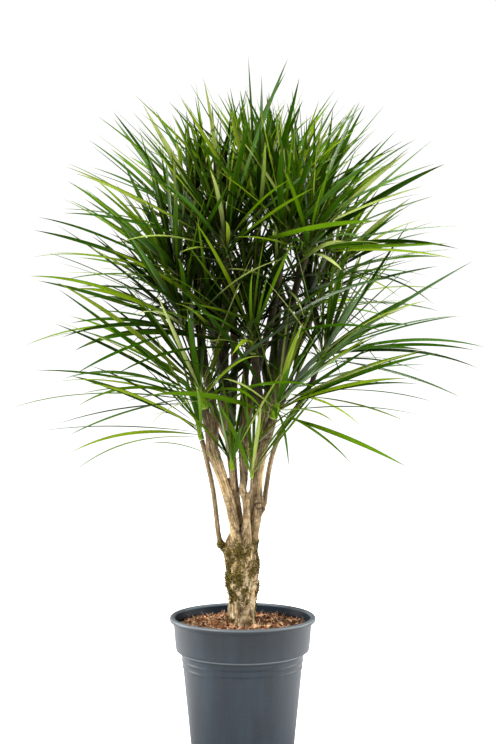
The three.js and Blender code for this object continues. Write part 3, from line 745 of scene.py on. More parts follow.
# %% Stem guides
# The trunk's levels as height, radius and shift in x, in mm. Its foot is plain up to the soil's top.
BARE_FROM_Z = 216
TRUNK_LEVELS = [(TRUNK_FOOT_Z, TRUNK_ROOT_RADIUS, 0), (BARE_FROM_Z, TRUNK_ROOT_RADIUS, 0), (223, 21.5, 0),
                (244, 23, 0), (268, 24.5, -1), (292, 26, -1), (316, 27.3, -1), (342, 27.3, -2), (364, 22, 0),
                (380, 14, 1)]
CORE_DEPTH = 6  # of the trunk's middle stem below its surface
STEM_SHIFT = 0.73  # in metres, sets the fibres of one stem apart from those of the next


def stem_guides():
    """All routes as one mesh of edges. Each point knows the radius of its tube, how far from it the skin lies
    and how far along its stem it is."""
    core = [(shift, 0, z, radius - CORE_DEPTH) for z, radius, shift in TRUNK_LEVELS[:-2]]
    points, edges, girths, reaches, alongs = [], [], [], [], []
    for number, route in enumerate([core, *STEMS.values()]):
        along = STEM_SHIFT * number
        depth = CORE_DEPTH if route is core else 0
        for i, (x, y, z, radius) in enumerate(route):
            point = Vector((x, y, z)) * MM
            if i:
                along += (point - points[-1]).length
                edges.append((len(points) - 1, len(points)))
            points.append(point)
            girths.append(radius * MM)
            reaches.append((radius + depth) * MM)
            alongs.append(along)
    return mesh_of("stems", points, edges, girth=girths, reach=reaches, along=alongs)


# %% Stem trees
PATH_SIZES = {"Step": 0.004}
STEM_SIZES = {"Sides": 18}


def smooth_curves(tree, edges):
    """Turns edges into curves that run smoothly through the same points."""
    curves = put(tree, "GeometryNodeMeshToCurve", {"Mesh": edges}).outputs[0]
    return put(tree, "GeometryNodeCurveSplineType", {"Curve": curves}, spline_type="CATMULL_ROM").outputs[0]


def unit_circle(tree, sides):
    return put(tree, "GeometryNodeCurvePrimitiveCircle", {"Resolution": sides, "Radius": 1.0}).outputs[0]


def swept(tree, path, profile, size):
    """A profile swept along a path with closed ends, scaled at each point by the attribute of that name."""
    inputs = {"Curve": path, "Profile Curve": profile, "Scale": named(tree, size), "Fill Caps": True}
    return put(tree, "GeometryNodeCurveToMesh", inputs).outputs[0]


def make_path_tree():
    """Rounds the bends of each route, and keeps the way it runs at each point."""
    tree, given, end = new_tree("stem_paths", PATH_SIZES)
    smooth = smooth_curves(tree, given["Geometry"])
    fine = put(tree, "GeometryNodeSetSplineResolution", {"Geometry": smooth, "Resolution": 12}).outputs[0]
    path = put(tree, "GeometryNodeResampleCurve", {"Curve": fine, "Length": given["Step"]},
               mode="LENGTH").outputs[0]
    path = stored(tree, path, "way", put(tree, "GeometryNodeInputTangent").outputs[0], "FLOAT_VECTOR")
    end_tree(tree, end, put(tree, "GeometryNodeCurveToMesh", {"Curve": path}).outputs[0], None)
    return tree


def make_stem_tree():
    """Sweeps a circle along each path."""
    tree, given, end = new_tree("stems", STEM_SIZES)
    path = put(tree, "GeometryNodeMeshToCurve", {"Mesh": given["Geometry"]}).outputs[0]
    end_tree(tree, end, swept(tree, path, unit_circle(tree, given["Sides"]), "girth"), None)
    return tree


stem_paths = grown(stem_guides(), make_path_tree(), PATH_SIZES)
stem_skins = grown(stem_paths.copy(), make_stem_tree(), STEM_SIZES)
print("stem path points:", len(stem_paths.vertices), "tubes:", triangles(stem_skins), "triangles")

# %% [markdown]
# The trunk is several old stems grown together. Its outline is lobed, and the lobes wind a little as they
# rise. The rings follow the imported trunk, with finer furrows between the lobes.

# %% Trunk rings
TRUNK_LUMP, FURROW_DEPTH = 1.6, 1.1
TRUNK_SIDES, TRUNK_RING_STEP = 96, 2


def trunk_mesh():
    levels = np.array(TRUNK_LEVELS, dtype=float)
    heights = np.arange(levels[0, 0], levels[-1, 0] + 1, TRUNK_RING_STEP)
    radii = np.interp(heights, levels[:, 0], levels[:, 1])
    shifts = np.interp(heights, levels[:, 0], levels[:, 2])
    points, faces = [], []
    for z, radius, shift in zip(heights, radii, shifts):
        bare = min(1, max(0, (z - BARE_FROM_Z) / 10))
        for k in range(TRUNK_SIDES):
            angle = 2 * math.pi * k / TRUNK_SIDES
            flutes = math.sin(3 * angle + z * 0.05) + 0.7 * math.sin(5 * angle - z * 0.11)
            furrow = abs(math.sin(4.5 * angle + 0.9 * math.sin(z * 0.03) + z * 0.012)) ** 0.5 - 0.75
            reach = radius + bare * (TRUNK_LUMP * flutes + FURROW_DEPTH * furrow)
            points.append((Vector((shift + reach * math.cos(angle), reach * math.sin(angle), z))) * MM)
    rings = len(heights)
    for ring in range(rings - 1):
        for k in range(TRUNK_SIDES):
            low, after = ring * TRUNK_SIDES, (k + 1) % TRUNK_SIDES
            faces.append((low + k, low + after, low + TRUNK_SIDES + after, low + TRUNK_SIDES + k))
    faces.append(tuple(range(TRUNK_SIDES))[::-1])
    faces.append(tuple(range((rings - 1) * TRUNK_SIDES, rings * TRUNK_SIDES)))
    return mesh_of("trunk", points, faces=faces)


trunk = trunk_mesh()
print("trunk rings:", len(trunk.vertices) // TRUNK_SIDES)

# %% Knuckles
# Where a stem was cut back and shot again, its end swelled. Each is x, y, z and radius in mm.
# The last two carry a tatter of moss, whose place and size are in metres.
KNUCKLES = [(-51, -42, 512, 8.5), (-44, -39, 504, 8), (-53, -40, 498, 7), (26, -15, 416, 8.5),
            (33, -9, 408, 6), (30, -6, 424, 6.5), (1, -25, 438, 5.5), (-38, -2, 347, 6), (40, -33, 528, 8),
            (50, 38, 594, 9), (-62, -16, 638, 8.5), (45, 70, 598, 9.5), (-31, 58, 600, 9.5),
            (-24, -9, 297, 3.5), (-24, -9, 280, 3.5)]
TATTER_PLACE, TATTER_SIZE = (-0.026, -0.009, 0.287), 0.02


def knuckle_mesh():
    """Slightly lumpy balls, sunk in their stems."""
    ball = bmesh.new()
    for x, y, z, radius in KNUCKLES:
        made = bmesh.ops.create_icosphere(ball, subdivisions=3, radius=radius * MM)["verts"]
        for vert in made:
            vert.co *= 1 + 0.22 * noise.noise(vert.co * 260 + Vector((x, y, z)))
            vert.co += Vector((x, y, z)) * MM
    mesh = bpy.data.meshes.new("knuckles")
    ball.to_mesh(mesh)
    ball.free()
    return mesh


knuckles = knuckle_mesh()
print("knuckles:", len(KNUCKLES))

# %% One skin
VOXEL = 0.002


def joined_mesh(name, meshes):
    """Joins meshes into one, with their attributes."""
    tree, _, end = new_tree(name, {})
    helpers = [bpy.data.objects.new(name, mesh) for mesh in meshes]
    for helper in helpers:
        scene.collection.objects.link(helper)
    held = [put(tree, "GeometryNodeObjectInfo", {"Object": helper}).outputs["Geometry"] for helper in helpers]
    end_tree(tree, end, heaped(tree, *held), None)
    mesh = grown(bpy.data.meshes.new(name), tree, {})
    for helper in helpers:
        bpy.data.objects.remove(helper)
    return mesh


def one_skin(mesh):
    """Melts overlapping closed tubes into one skin, and rounds its crotches."""
    heap = bpy.data.objects.new("heap", mesh)
    scene.collection.objects.link(heap)
    melt = heap.modifiers.new("melt", "REMESH")
    melt.mode = "VOXEL"
    melt.voxel_size = VOXEL
    ease = heap.modifiers.new("ease", "SMOOTH")
    ease.factor = 0.5
    ease.iterations = 3
    graph = bpy.context.evaluated_depsgraph_get()
    skin = bpy.data.meshes.new_from_object(heap.evaluated_get(graph))
    heap.modifiers.clear()
    bpy.data.objects.remove(heap)
    return skin


wood_skin = one_skin(joined_mesh("raw_wood", [stem_skins, trunk, knuckles]))
print("wood skin:", triangles(wood_skin), "triangles")

# %% [markdown]
# The remesh forgets where each point lay on its stem, so the tree below finds the nearest point of a path,
# and works out where the skin would lie if that stem were straight. With it, fibres and ring scars follow
# each stem however it bends. The relief is real geometry: long fibres, slight swellings between the ring
# scars, and lumps that are larger on the old trunk. Moss is a mask that both the finish and the tufts read.

# %% Bark tree
BARK = {"Fibre depth": 0.0014, "Ring depth": 0.0002, "Lump height": 0.0022, "Cleft depth": 0.0025,
        "Paths": bpy.data.objects.new("paths", stem_paths)}
scene.collection.objects.link(BARK["Paths"])
RING_SPACING = 0.0085
YOUNG_FROM = (0.33, 0.42)  # heights, in metres, between which the old bark gives way to the young


def rings_along(tree, straight):
    """A wave along a stem, lowest at each ring scar. The scars wander a little."""
    wobble = product(tree, grain(tree, straight, 60.0), 0.006)
    level = maths(tree, "ADD", height_of(tree, straight), wobble)
    return maths(tree, "SINE", product(tree, level, 2 * math.pi / RING_SPACING))


def laid_straight(tree, given, place):
    """Keeps where each point of the skin would lie on a straight stem, the stem's girth, and the clefts."""
    paths = put(tree, "GeometryNodeObjectInfo", {"Object": given["Paths"]}).outputs["Geometry"]
    nearest = put(tree, "GeometryNodeSampleNearest", {"Geometry": paths}, domain="POINT").outputs[0]

    def looked_up(value, kind):
        return put(tree, "GeometryNodeSampleIndex", {"Geometry": paths, "Value": value, "Index": nearest},
                   data_type=kind, domain="POINT").outputs[0]

    way = looked_up(named(tree, "way", "FLOAT_VECTOR"), "FLOAT_VECTOR")
    apart = vectors(tree, "SUBTRACT", place, looked_up(place, "FLOAT_VECTOR"))
    ahead = vectors(tree, "DOT_PRODUCT", apart, way)
    spoke = vectors(tree, "SUBTRACT", apart, vectors(tree, "SCALE", way, ahead))
    sides = put(tree, "ShaderNodeSeparateXYZ", {0: spoke}).outputs
    along = maths(tree, "ADD", looked_up(named(tree, "along"), "FLOAT"), ahead)
    straight = put(tree, "ShaderNodeCombineXYZ", {"X": sides["X"], "Y": sides["Y"], "Z": along}).outputs[0]
    girth = looked_up(named(tree, "reach"), "FLOAT")
    filled = maths(tree, "SUBTRACT", vectors(tree, "LENGTH", spoke), girth)
    # The cleft mask sinks the skin here, and the finish darkens it as painted shade.
    forked = eased(tree, height_of(tree, place), 0.335, 0.36)
    cleft = product(tree, eased(tree, filled, 0.0004, 0.0026), eased(tree, filled, 0.005, 0.0035), forked)
    skin = stored(tree, given["Geometry"], "straight", straight, "FLOAT_VECTOR")
    skin = stored(tree, skin, "girth", girth)
    return stored(tree, skin, "cleft", cleft)


def raised(tree, given, skin, place):
    """Raises the skin by its fibres, lumps and rings, and sinks its clefts."""
    straight = named(tree, "straight", "FLOAT_VECTOR")
    fibres = maths(tree, "SUBTRACT", grain(tree, straight, 330.0, (1, 1, 0.07), 3.0), 0.5)
    lumps = maths(tree, "SUBTRACT", grain(tree, place, 75.0, (1, 1, 0.6), 2.0), 0.5)
    thick = put(tree, "ShaderNodeMapRange", {"Value": named(tree, "girth"), "From Min": 0.004,
                                             "From Max": 0.02, "To Min": 0.35, "To Max": 1.0}).outputs[0]
    young = eased(tree, height_of(tree, place), *YOUNG_FROM)
    rings = product(tree, rings_along(tree, straight), given["Ring depth"], young)
    clefts = product(tree, named(tree, "cleft"), given["Cleft depth"])
    relief = maths(tree, "ADD", product(tree, fibres, given["Fibre depth"]),
                   product(tree, lumps, given["Lump height"]))
    relief = maths(tree, "ADD", product(tree, relief, thick), rings)
    relief = maths(tree, "SUBTRACT", relief, clefts)
    normal = put(tree, "GeometryNodeInputNormal").outputs[0]
    skin = moved(tree, skin, vectors(tree, "SCALE", normal, relief))
    return stored(tree, skin, "relief", maths(tree, "ADD", fibres, product(tree, lumps, 0.6)))


def mossed(tree, skin, place):
    """Keeps where moss grows, low on the trunk, and where it hangs in a tatter."""
    height = height_of(tree, place)
    apart = vectors(tree, "DISTANCE", place, TATTER_PLACE)
    tatter = eased(tree, apart, TATTER_SIZE, 0.4 * TATTER_SIZE)
    chance = maths(tree, "ADD", grain(tree, place, 75.0, (1, 1, 0.7), 7.0, 0.8),
                   product(tree, eased(tree, height, 0.225, 0.3), 0.08))
    chance = maths(tree, "ADD", chance, product(tree, tatter, 0.1))
    low = rest_of(tree, eased(tree, height, 0.335, 0.375))
    skin = stored(tree, skin, "tatter", tatter)
    return stored(tree, skin, "moss", product(tree, eased(tree, chance, 0.54, 0.62), low))


def make_bark_tree(finish):
    tree, given, end = new_tree("bark_relief", BARK)
    place = place_of(tree)
    skin = raised(tree, given, laid_straight(tree, given, place), place)
    end_tree(tree, end, mossed(tree, skin, place), finish)
    return tree


# %% [markdown]
# Young stems are pale tan with a dry, papery skin in long fibres, and a thin dark line where each old leaf
# was attached. The trunk is greyer, with cream lichen low down and olive moss. Painted shade makes its
# furrows and the clefts between stems nearly black, and darkens the stems under the crown.

# %% Bark finish
def dry_bark(tree, place, height, fibre):
    """Papery fibres in tan: darker on slim stems, painted shade under the crown, and crusted on the old wood.
    """
    tan = colour_ramp(tree, fibre, {0.32: (0.04, 0.024, 0.01), 0.45: (0.26, 0.18, 0.088),
                                    0.57: (0.47, 0.345, 0.19), 0.72: (0.78, 0.62, 0.38)})
    patches = grain(tree, place, 42, (1, 1, 0.5), 5, 0.6)
    weather = colour_ramp(tree, patches, {0.35: (0.25, 0.2, 0.15), 0.5: (0.9, 0.9, 0.9),
                                          0.7: (1.3, 1.2, 1.05)})
    colour = mixed(tree, 0.85, tan, weather, "MULTIPLY")
    slim = eased(tree, attribute(tree, "girth"), 0.006, 0.0045)
    colour = mixed(tree, product(tree, slim, 0.55), colour, (0.12, 0.088, 0.05))
    # Painted shade: the stems under the crown are darkened.
    shaded = eased(tree, height, 0.48, 0.61)
    colour = mixed(tree, shaded, colour, (0.08, 0.088, 0.03), "MULTIPLY")
    old = rest_of(tree, eased(tree, height, 0.36, 0.56))
    crust = product(tree, eased(tree, grain(tree, place, 130, detail=6, rough=0.75), 0.5, 0.58), old, 0.8)
    return mixed(tree, crust, colour, (0.15, 0.088, 0.022))


def make_bark_finish():
    finish, tree, shader = new_finish("ringed_bark", roughness=0.82, specular=0.25)
    place = own_place(tree)
    straight = attribute(tree, "straight", "Vector")
    height = height_of(tree, place)
    fibre = grain(tree, straight, 700, (1, 1, 0.05), 4)
    scar = product(tree, eased(tree, rings_along(tree, straight), -0.75, -1.0),
                   eased(tree, height, *YOUNG_FROM), 0.25)
    # Painted shade: low places of the relief and the clefts between stems are darkened.
    furrow = product(tree, eased(tree, attribute(tree, "relief"), -0.02, -0.22), 0.8)
    cleft = product(tree, attribute(tree, "cleft"), 0.92)
    lichen_patches = eased(tree, grain(tree, place, 85, detail=6, rough=0.75), 0.51, 0.57)
    lichen = product(tree, lichen_patches, rest_of(tree, eased(tree, height, 0.25, 0.34)))
    moss = product(tree, eased(tree, attribute(tree, "moss"), 0.1, 0.6), 0.85)
    olive = colour_ramp(tree, grain(tree, place, 320, detail=4),
                        {0.3: (0.02, 0.016, 0.004), 0.5: (0.1, 0.07, 0.01), 0.75: (0.28, 0.2, 0.03)})
    colour = layered(tree, dry_bark(tree, place, height, fibre), (scar, (0.06, 0.035, 0.02)),
                     (furrow, (0.025, 0.018, 0.008)), (cleft, (0.022, 0.013, 0.006)),
                     (lichen, (0.57, 0.455, 0.28)), (moss, olive))
    tree.links.new(colour, shader.inputs["Base Color"])
    rough_skin = maths(tree, "ADD", fibre, product(tree, scar, -0.8))
    add_bump(tree, shader, rough_skin, 0.0009, 0.8)
    return finish


wood = add_piece("living_wood", grown(wood_skin, make_bark_tree(make_bark_finish()), BARK), crease=180)
bpy.data.objects.remove(BARK.pop("Paths"))
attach(wood, "root")
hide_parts("trunk_and_branches")
print("wood triangles:", triangles(wood.data))

# %% [markdown]
# The moss stands out from the bark as short tufts. Hair could make it, but hair is not a mesh, so small
# leaning cones are scattered where the mask is high, with a few long wisps between them.

# %% Moss tufts
# Copies for each square metre, and how many more wisps hang in the tatter.
MOSS = {"Most tufts": 650000.0, "Most wisps": 24000.0, "Tatter": 12.0, "Seed": 5}
TUFT = {"Vertices": 3, "Side Segments": 1, "Radius Bottom": 0.0006, "Radius Top": 0.0001, "Depth": 0.0026}
WISP_SIZES = ((0.0005, 0.0005, 0.007), (0.0012, 0.0012, 0.016))


def make_moss_tree(finish):
    tree, given, end = new_tree("moss_tufts", MOSS)
    mask = eased(tree, named(tree, "moss"), 0.2, 0.9)
    spots = spread_points(tree, given["Geometry"], product(tree, mask, given["Most tufts"]), given["Seed"])
    cone = put(tree, "GeometryNodeMeshCone", TUFT, fill_type="NGON").outputs[0]
    inputs = {"Points": spots[0], "Instance": cone, "Rotation": spots["Rotation"],
              "Scale": random_number(tree, 0.5, 1.3, 2)}
    tufts = put(tree, "GeometryNodeInstanceOnPoints", inputs).outputs[0]
    lean = random_vector(tree, (-0.8, -0.8, 0), (0.8, 0.8, 6.3), 1)
    leant = put(tree, "GeometryNodeRotateInstances", {"Instances": tufts, "Rotation": lean}).outputs[0]
    leant = stored(tree, leant, "tint", random_number(tree, 0.0, 1.0, 3), domain="INSTANCE")
    ragged = maths(tree, "ADD", 1.0, product(tree, named(tree, "tatter"), given["Tatter"]))
    density = product(tree, mask, ragged, given["Most wisps"])
    wisps = scattered(tree, given["Geometry"], density, given["Seed"], thread_shape(tree, 6), WISP_SIZES,
                      tilt=1.5)
    end_tree(tree, end, heaped(tree, leant, curled(tree, made_real(tree, wisps))), finish)
    return tree


def make_moss_finish():
    finish, tree, shader = new_finish("olive_moss", roughness=0.95, specular=0.1)
    patches = grain(tree, own_place(tree), 120, detail=3)
    shade = maths(tree, "ADD", product(tree, attribute(tree, "tint"), 0.5), product(tree, patches, 0.5))
    colour = colour_ramp(tree, shade, {0.2: (0.014, 0.011, 0.003), 0.5: (0.08, 0.062, 0.012),
                                       0.8: (0.34, 0.26, 0.06)})
    tree.links.new(colour, shader.inputs["Base Color"])
    return finish


moss = add_piece("trunk_moss", grown(wood.data.copy(), make_moss_tree(make_moss_finish()), MOSS))
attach(moss, "root")
print("moss triangles:", triangles(moss.data))

# %% [markdown]
# ## The rosettes
# Blades leave the tip of a stem one after another, each turned by the golden angle from the last. The
# youngest stand up in the middle, and the oldest lean out and droop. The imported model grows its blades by
# this rule, with a small stream of random numbers that any language can repeat. Here the same rule is
# followed number by number, so that each packed blade gets its fine one on the same midrib, and the blades
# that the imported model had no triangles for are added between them. The fine blades turn more about their
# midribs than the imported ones, and show more of their upper side to the front.

# %% Rosette sizes: blades, their length in mm, the lean of the oldest in degrees, and droop
ROSETTES = {
    "left_front": (42, 300, 78, 0.35), "left_low": (30, 250, 80, 0.5), "left_side": (40, 275, 74, 0.4),
    "left_high": (40, 250, 56, 0.3), "centre_left": (45, 280, 64, 0.3), "front_shoot": (24, 190, 50, 0.25),
    "middle_left": (35, 270, 68, 0.4), "centre": (45, 260, 56, 0.2), "centre_right": (45, 260, 58, 0.3),
    "young_shoot": (25, 210, 36, 0.15), "right_front": (40, 265, 74, 0.35),
    "middle_front": (40, 275, 74, 0.45), "right_low": (35, 250, 78, 0.35), "right_high": (45, 250, 60, 0.35),
    "right_shoot": (20, 180, 66, 0.4), "right_top": (40, 215, 50, 0.3), "right_side": (35, 205, 60, 0.4),
    "back_right": (35, 235, 52, 0.2), "back_right_low": (24, 240, 74, 0.35),
    "back_right_side": (35, 235, 66, 0.35),
    "back_middle": (30, 250, 70, 0.35), "back_left": (35, 255, 52, 0.2), "back_left_low": (24, 245, 74, 0.35),
    "back_left_side": (35, 240, 66, 0.35), "left_top": (36, 250, 52, 0.25),
}
FRESHNESS = {"young_shoot": 0.2, "right_shoot": 0.1}  # of the leaves on young side shoots
GOLDEN_ANGLE = 137.508
YOUNGEST_LEAN, YOUNGEST_LENGTH, GROWN_AGE = 8, 0.6, 0.67
DROOP_BY_AGE = (0.25, 1.2)
VARIATION = {"turn": 9, "lean": 7, "length": 0.1, "droop": 0.45, "sweep": 0.16, "roll": 1.1}
BEND_TRIES, BEND_GROWTH = 24, 0.1
BLADE_WIDTH, FULL_WIDTH_LENGTH = 11, 250
BLADE_ROOT_WIDTH, WIDEST, TAPER, BLADE_STEPS = 0.3, 0.42, 2.2, 12
BUD_SHARE, BUD_SWELL = 0.16, 1.5
SLIMMEST, WIDE, LEADER_WIDTH = 0.45, 0.95, 0.75  # of the full width
LEADER_TINT = 0.65  # of the range of tints, since the leading blades are grown and dark
FACING, LEADER_FACING = 0.4, 0.6  # how far the blades turn their upper side to the front, in radians
# The lower rosettes are thinner, and the upper ones have more blades: short young ones in the heart of
# those in front, and old hanging ones at the back. Each kind is a share of the rosette's blades, a share of
# their length, the lean of the oldest, and droop.
LOW_Z, BACK_Y, THINNING = 620, 40, 2
YOUNG_KIND, HANGING_KIND = (0.3, 0.6, 60, 0.3), (0.7, 0.7, 115, 0.8)
EXTRA_SEED, TINT_SEED, WIDTH_SEED = 40, 500, 900
print("blades in all:", sum(rosette[0] for rosette in ROSETTES.values()))

# %% [markdown]
# Some blades stand out of the spiral and give the crown its outline in the photograph. The imported model
# sets them one by one, and so they are set here: turn round the stem and lean in degrees, length in mm, and
# droop.

# %% Leading blades
LEADERS = {
    "left_front": [(350, 40, 290, 0.1), (8, 45, 270, 0.2), (15, 50, 240, 0.7), (10, 58, 210, 0.9),
                   (130, 64, 180, 1.1)],
    "middle_left": [(130, 100, 205, 0.8)],
    "centre": [(0, 6, 265, 0)],
    "right_front": [(105, 75, 130, 2.4), (185, 45, 280, 0.3), (195, 38, 200, 0.1), (165, 92, 150, 0.6)],
    "right_low": [(180, 35, 290, 0.1), (180, 12, 260, 0), (140, 16, 230, 0), (170, 54, 270, 0.5),
                  (165, 60, 260, 0.55)],
    "right_high": [(170, 64, 230, 0)],
    "right_top": [(0, 12, 235, 0)],
    "right_side": [(160, 66, 190, 0.9)],
}
LEADER_AGE = 0.7
print("leading blades:", sum(len(leaders) for leaders in LEADERS.values()))

# %% The growth rule
def stream(seed):
    """A repeatable stream of numbers from 0 to 1."""
    state = (seed * 2654435 + 97531) % 2**32
    while True:
        state = (state * 1664525 + 1013904223) % 2**32
        yield state / 2**32


def between(low, high, share):
    return (1 - share) * low + share * high


def stem_tip(route):
    """The end of a stem, the way it points, two directions across it, and its radius, all in mm."""
    before, end = (Vector(point[:3]) for point in route[-2:])
    axis = (end - before).normalized()
    across = axis.cross(Vector((0, 1, 0))).normalized()
    return end, axis, across, axis.cross(across), route[-1][3]


def midrib(tip, rosette, leaders, seed, i, bend):
    """The points of blade i's midrib in mm, as it grows on a given try, the blade's sideways direction at
    each, its age and its width."""
    end, axis, across, front, radius = tip
    blades, full_length, spread, droopiness = rosette
    draws = stream(seed * 10000 + i * 100 + bend)
    leader = leaders[i - blades] if i >= blades else None
    freedom = (0 if leader else 1) + BEND_GROWTH * bend
    chance = {kind: most * (2 * next(draws) - 1) * freedom for kind, most in VARIATION.items()}
    age = LEADER_AGE if leader else (i + 0.5) / blades
    growth = math.sin(math.pi / 2 * min(1, age / GROWN_AGE))
    turn, lean, length, droop = leader or (
        i * GOLDEN_ANGLE,
        between(YOUNGEST_LEAN, spread, age**0.8),
        full_length * between(YOUNGEST_LENGTH, 1, growth),
        droopiness * between(*DROOP_BY_AGE, age),
    )
    turn = math.radians(turn + chance["turn"])
    lean = math.radians(lean + chance["lean"])
    length *= 1 + chance["length"]
    droop *= 1 + chance["droop"]
    outward = across * math.cos(turn) + front * math.sin(turn)
    start = axis * math.cos(lean) + outward * math.sin(lean)
    side = axis.cross(start).normalized()
    root = end + axis * between(full_length * BUD_SHARE - 3, 5, age)
    points, sides = [root + outward * (age * (radius + BUD_SWELL) / 2)], []
    for k in range(BLADE_STEPS):
        s = (k + 0.5) / BLADE_STEPS
        way = start + side * (chance["sweep"] * s) - Vector((0, 0, droop * s**1.5))
        way.normalize()
        points.append(points[-1] + way * (length / BLADE_STEPS))
        flat = (side - way * side.dot(way)).normalized()
        to_front = (LEADER_FACING if leader else FACING) * side.y * min(1, 3 * s)
        sides.append(Quaternion(way, chance["roll"] * s + to_front) @ flat)
    return points, [*sides, sides[-1]], age, BLADE_WIDTH * min(1, length / FULL_WIDTH_LENGTH)


def blade_outline(s):
    """Share of the full width at a share s of the length."""
    if s < WIDEST:
        return between(BLADE_ROOT_WIDTH, 1, math.sin(math.pi / 2 * s / WIDEST))
    return max(0.03, 1 - ((s - WIDEST) / (1 - WIDEST)) ** TAPER)


# %% [markdown]
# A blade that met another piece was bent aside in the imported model, try by try. The try that it kept is
# found again by its tip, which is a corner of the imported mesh. A blade that was not packed takes the first
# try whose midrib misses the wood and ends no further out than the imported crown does.

# %% Finding each blade's try
TIP_MATCH = 0.15  # mm
wood_shape = BVHTree.FromObject(wood, bpy.context.evaluated_depsgraph_get())


def corners_of(node):
    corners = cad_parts[node].data.vertices
    tree = KDTree(len(corners))
    for i, corner in enumerate(corners):
        tree.insert(corner.co / MM, i)
    tree.balance()
    return tree


def misses_wood(points):
    for a, b in zip(points[1:], points[2:]):
        start, way = a * MM, (b - a) * MM
        if wood_shape.ray_cast(start, way.normalized(), way.length)[0] is not None:
            return False
    return True


def in_crown(tip):
    low, high = cad_box
    return all(least <= value * MM <= most for least, value, most in zip(low, tip, high))


def grow_blade(tries, packed_corners):
    """The try that was packed, and True, or the first that is free."""
    for blade in tries:
        if packed_corners.find(blade[0][-1])[2] < TIP_MATCH:
            return blade, True
    free = (blade for blade in tries if in_crown(blade[0][-1]) and misses_wood(blade[0]))
    return next(free, tries[0]), False


# %% Blade tree
BLADE = {"Steps": 15, "Bud sides": 12}
BLADE_SECTION = [(-1, 0.2, 0), (0, -0.2, 0), (1, 0.2, 0), (0, -0.08, 0)]  # in half widths


def make_blade_tree(finish):
    """Sweeps the blade's flat section along each midrib, and a round one along the bud."""
    tree, given, end = new_tree("blades", BLADE)
    parted = put(tree, "GeometryNodeSeparateGeometry",
                 {"Geometry": given["Geometry"], "Selection": named(tree, "is_bud")}, domain="POINT").outputs
    corners = {f"Point {k + 1}": corner for k, corner in enumerate(BLADE_SECTION)}
    section = put(tree, "GeometryNodeCurvePrimitiveQuadrilateral", corners, mode="POINTS").outputs[0]
    sideways = put(tree, "ShaderNodeSeparateXYZ", {0: place_of(tree)}).outputs["X"]
    side = named(tree, "side", "FLOAT_VECTOR")
    parts = []
    for guides, profile in ((parted["Inverted"], section),
                            (parted["Selection"], unit_circle(tree, given["Bud sides"]))):
        smooth = smooth_curves(tree, guides)
        paths = put(tree, "GeometryNodeResampleCurve", {"Curve": smooth, "Count": given["Steps"]}).outputs[0]
        paths = put(tree, "GeometryNodeSetCurveNormal", {"Curve": paths, "Normal": side},
                    mode="FREE").outputs[0]
        parts.append(swept(tree, paths, stored(tree, profile, "across", sideways), "half_width"))
    end_tree(tree, end, heaped(tree, *parts), finish)
    return tree


# %% [markdown]
# A blade is leathery and satin, deep green when grown and yellow-green when young. It has fine parallel
# veins, a thin dark red margin, a paler root where it clasps the stem, and a dry point. Painted shade
# darkens the blades in the middle of the crown.

# %% Blade finish
SHEEN_FROM, SHEEN_TO = (0.36, 0.39), (0.5, 0.47)  # the blades with tints between these shine
# Painted shade: blades inside this ellipsoid, in the middle of the crown, are darkened.
HEART_SHADE_PLACE, HEART_SHADE_SIZE = (-0.01, 0.06, 0.79), (0.27, 0.25, 0.3)  # the shaded middle of the crown, in metres
TINT_SPREAD = 40.0  # sets the veins of one blade apart from those of the next


def make_blade_finish():
    finish, tree, shader = new_finish("satin_blade", roughness=0.38)
    tint, along, across = (attribute(tree, name) for name in ("tint", "along", "across"))
    colour = colour_ramp(tree, tint, {0.0: (0.007, 0.028, 0.0), 0.4: (0.028, 0.1, 0.0),
                                      0.65: (0.086, 0.184, 0.001), 0.85: (0.16, 0.235, 0.006),
                                      1.0: (0.29, 0.345, 0.11)})
    colour = mixed(tree, attribute(tree, "youth"), colour, (0.17, 0.3, 0.012))
    # Painted shade in the middle of the crown.
    offset = vectors(tree, "SUBTRACT", own_place(tree), HEART_SHADE_PLACE)
    reach = vectors(tree, "LENGTH", vectors(tree, "DIVIDE", offset, HEART_SHADE_SIZE))
    colour = mixed(tree, eased(tree, reach, 1.0, 0.5), colour, (0.07, 0.14, 0.03), "MULTIPLY")
    place = put(tree, "ShaderNodeCombineXYZ", {"X": across, "Y": product(tree, along, 0.4),
                                               "Z": product(tree, tint, TINT_SPREAD)}).outputs[0]
    veins = grain(tree, place, 7, (1, 1, 1), 3, 0.6)
    shade = colour_ramp(tree, veins, {0.3: (0.4, 0.45, 0.4), 0.5: (1, 1, 1), 0.75: (1.5, 1.4, 1.3)})
    colour = mixed(tree, 0.8, colour, shade, "MULTIPLY")
    worn = eased(tree, grain(tree, own_place(tree), 45, detail=4, rough=0.7), 0.56, 0.66)
    root = rest_of(tree, eased(tree, along, 0.0, 0.13))
    dry = eased(tree, along, 0.93, 1.0)
    margin = eased(tree, maths(tree, "ABSOLUTE", across), 0.82, 0.95)
    colour = layered(tree, colour, (product(tree, worn, 0.22), (0.1, 0.055, 0.012)),
                     (product(tree, root, 0.75), (0.3, 0.36, 0.1)),
                     (product(tree, dry, 0.7), (0.2, 0.15, 0.05)),
                     (product(tree, margin, 0.7), (0.07, 0.02, 0.014)))
    tree.links.new(colour, shader.inputs["Base Color"])
    sheen = product(tree, eased(tree, tint, *SHEEN_FROM), eased(tree, tint, *SHEEN_TO))
    shine = maths(tree, "ADD", product(tree, sheen, 0.43), 0.02)
    tree.links.new(shine, shader.inputs["Specular IOR Level"])
    gloss = put(tree, "ShaderNodeMapRange", {"Value": veins, "To Min": 0.38, "To Max": 0.56}).outputs[0]
    gloss = maths(tree, "SUBTRACT", gloss, product(tree, sheen, 0.1))
    tree.links.new(gloss, shader.inputs["Roughness"])
    add_bump(tree, shader, veins, 0.0003, 0.5)
    return finish


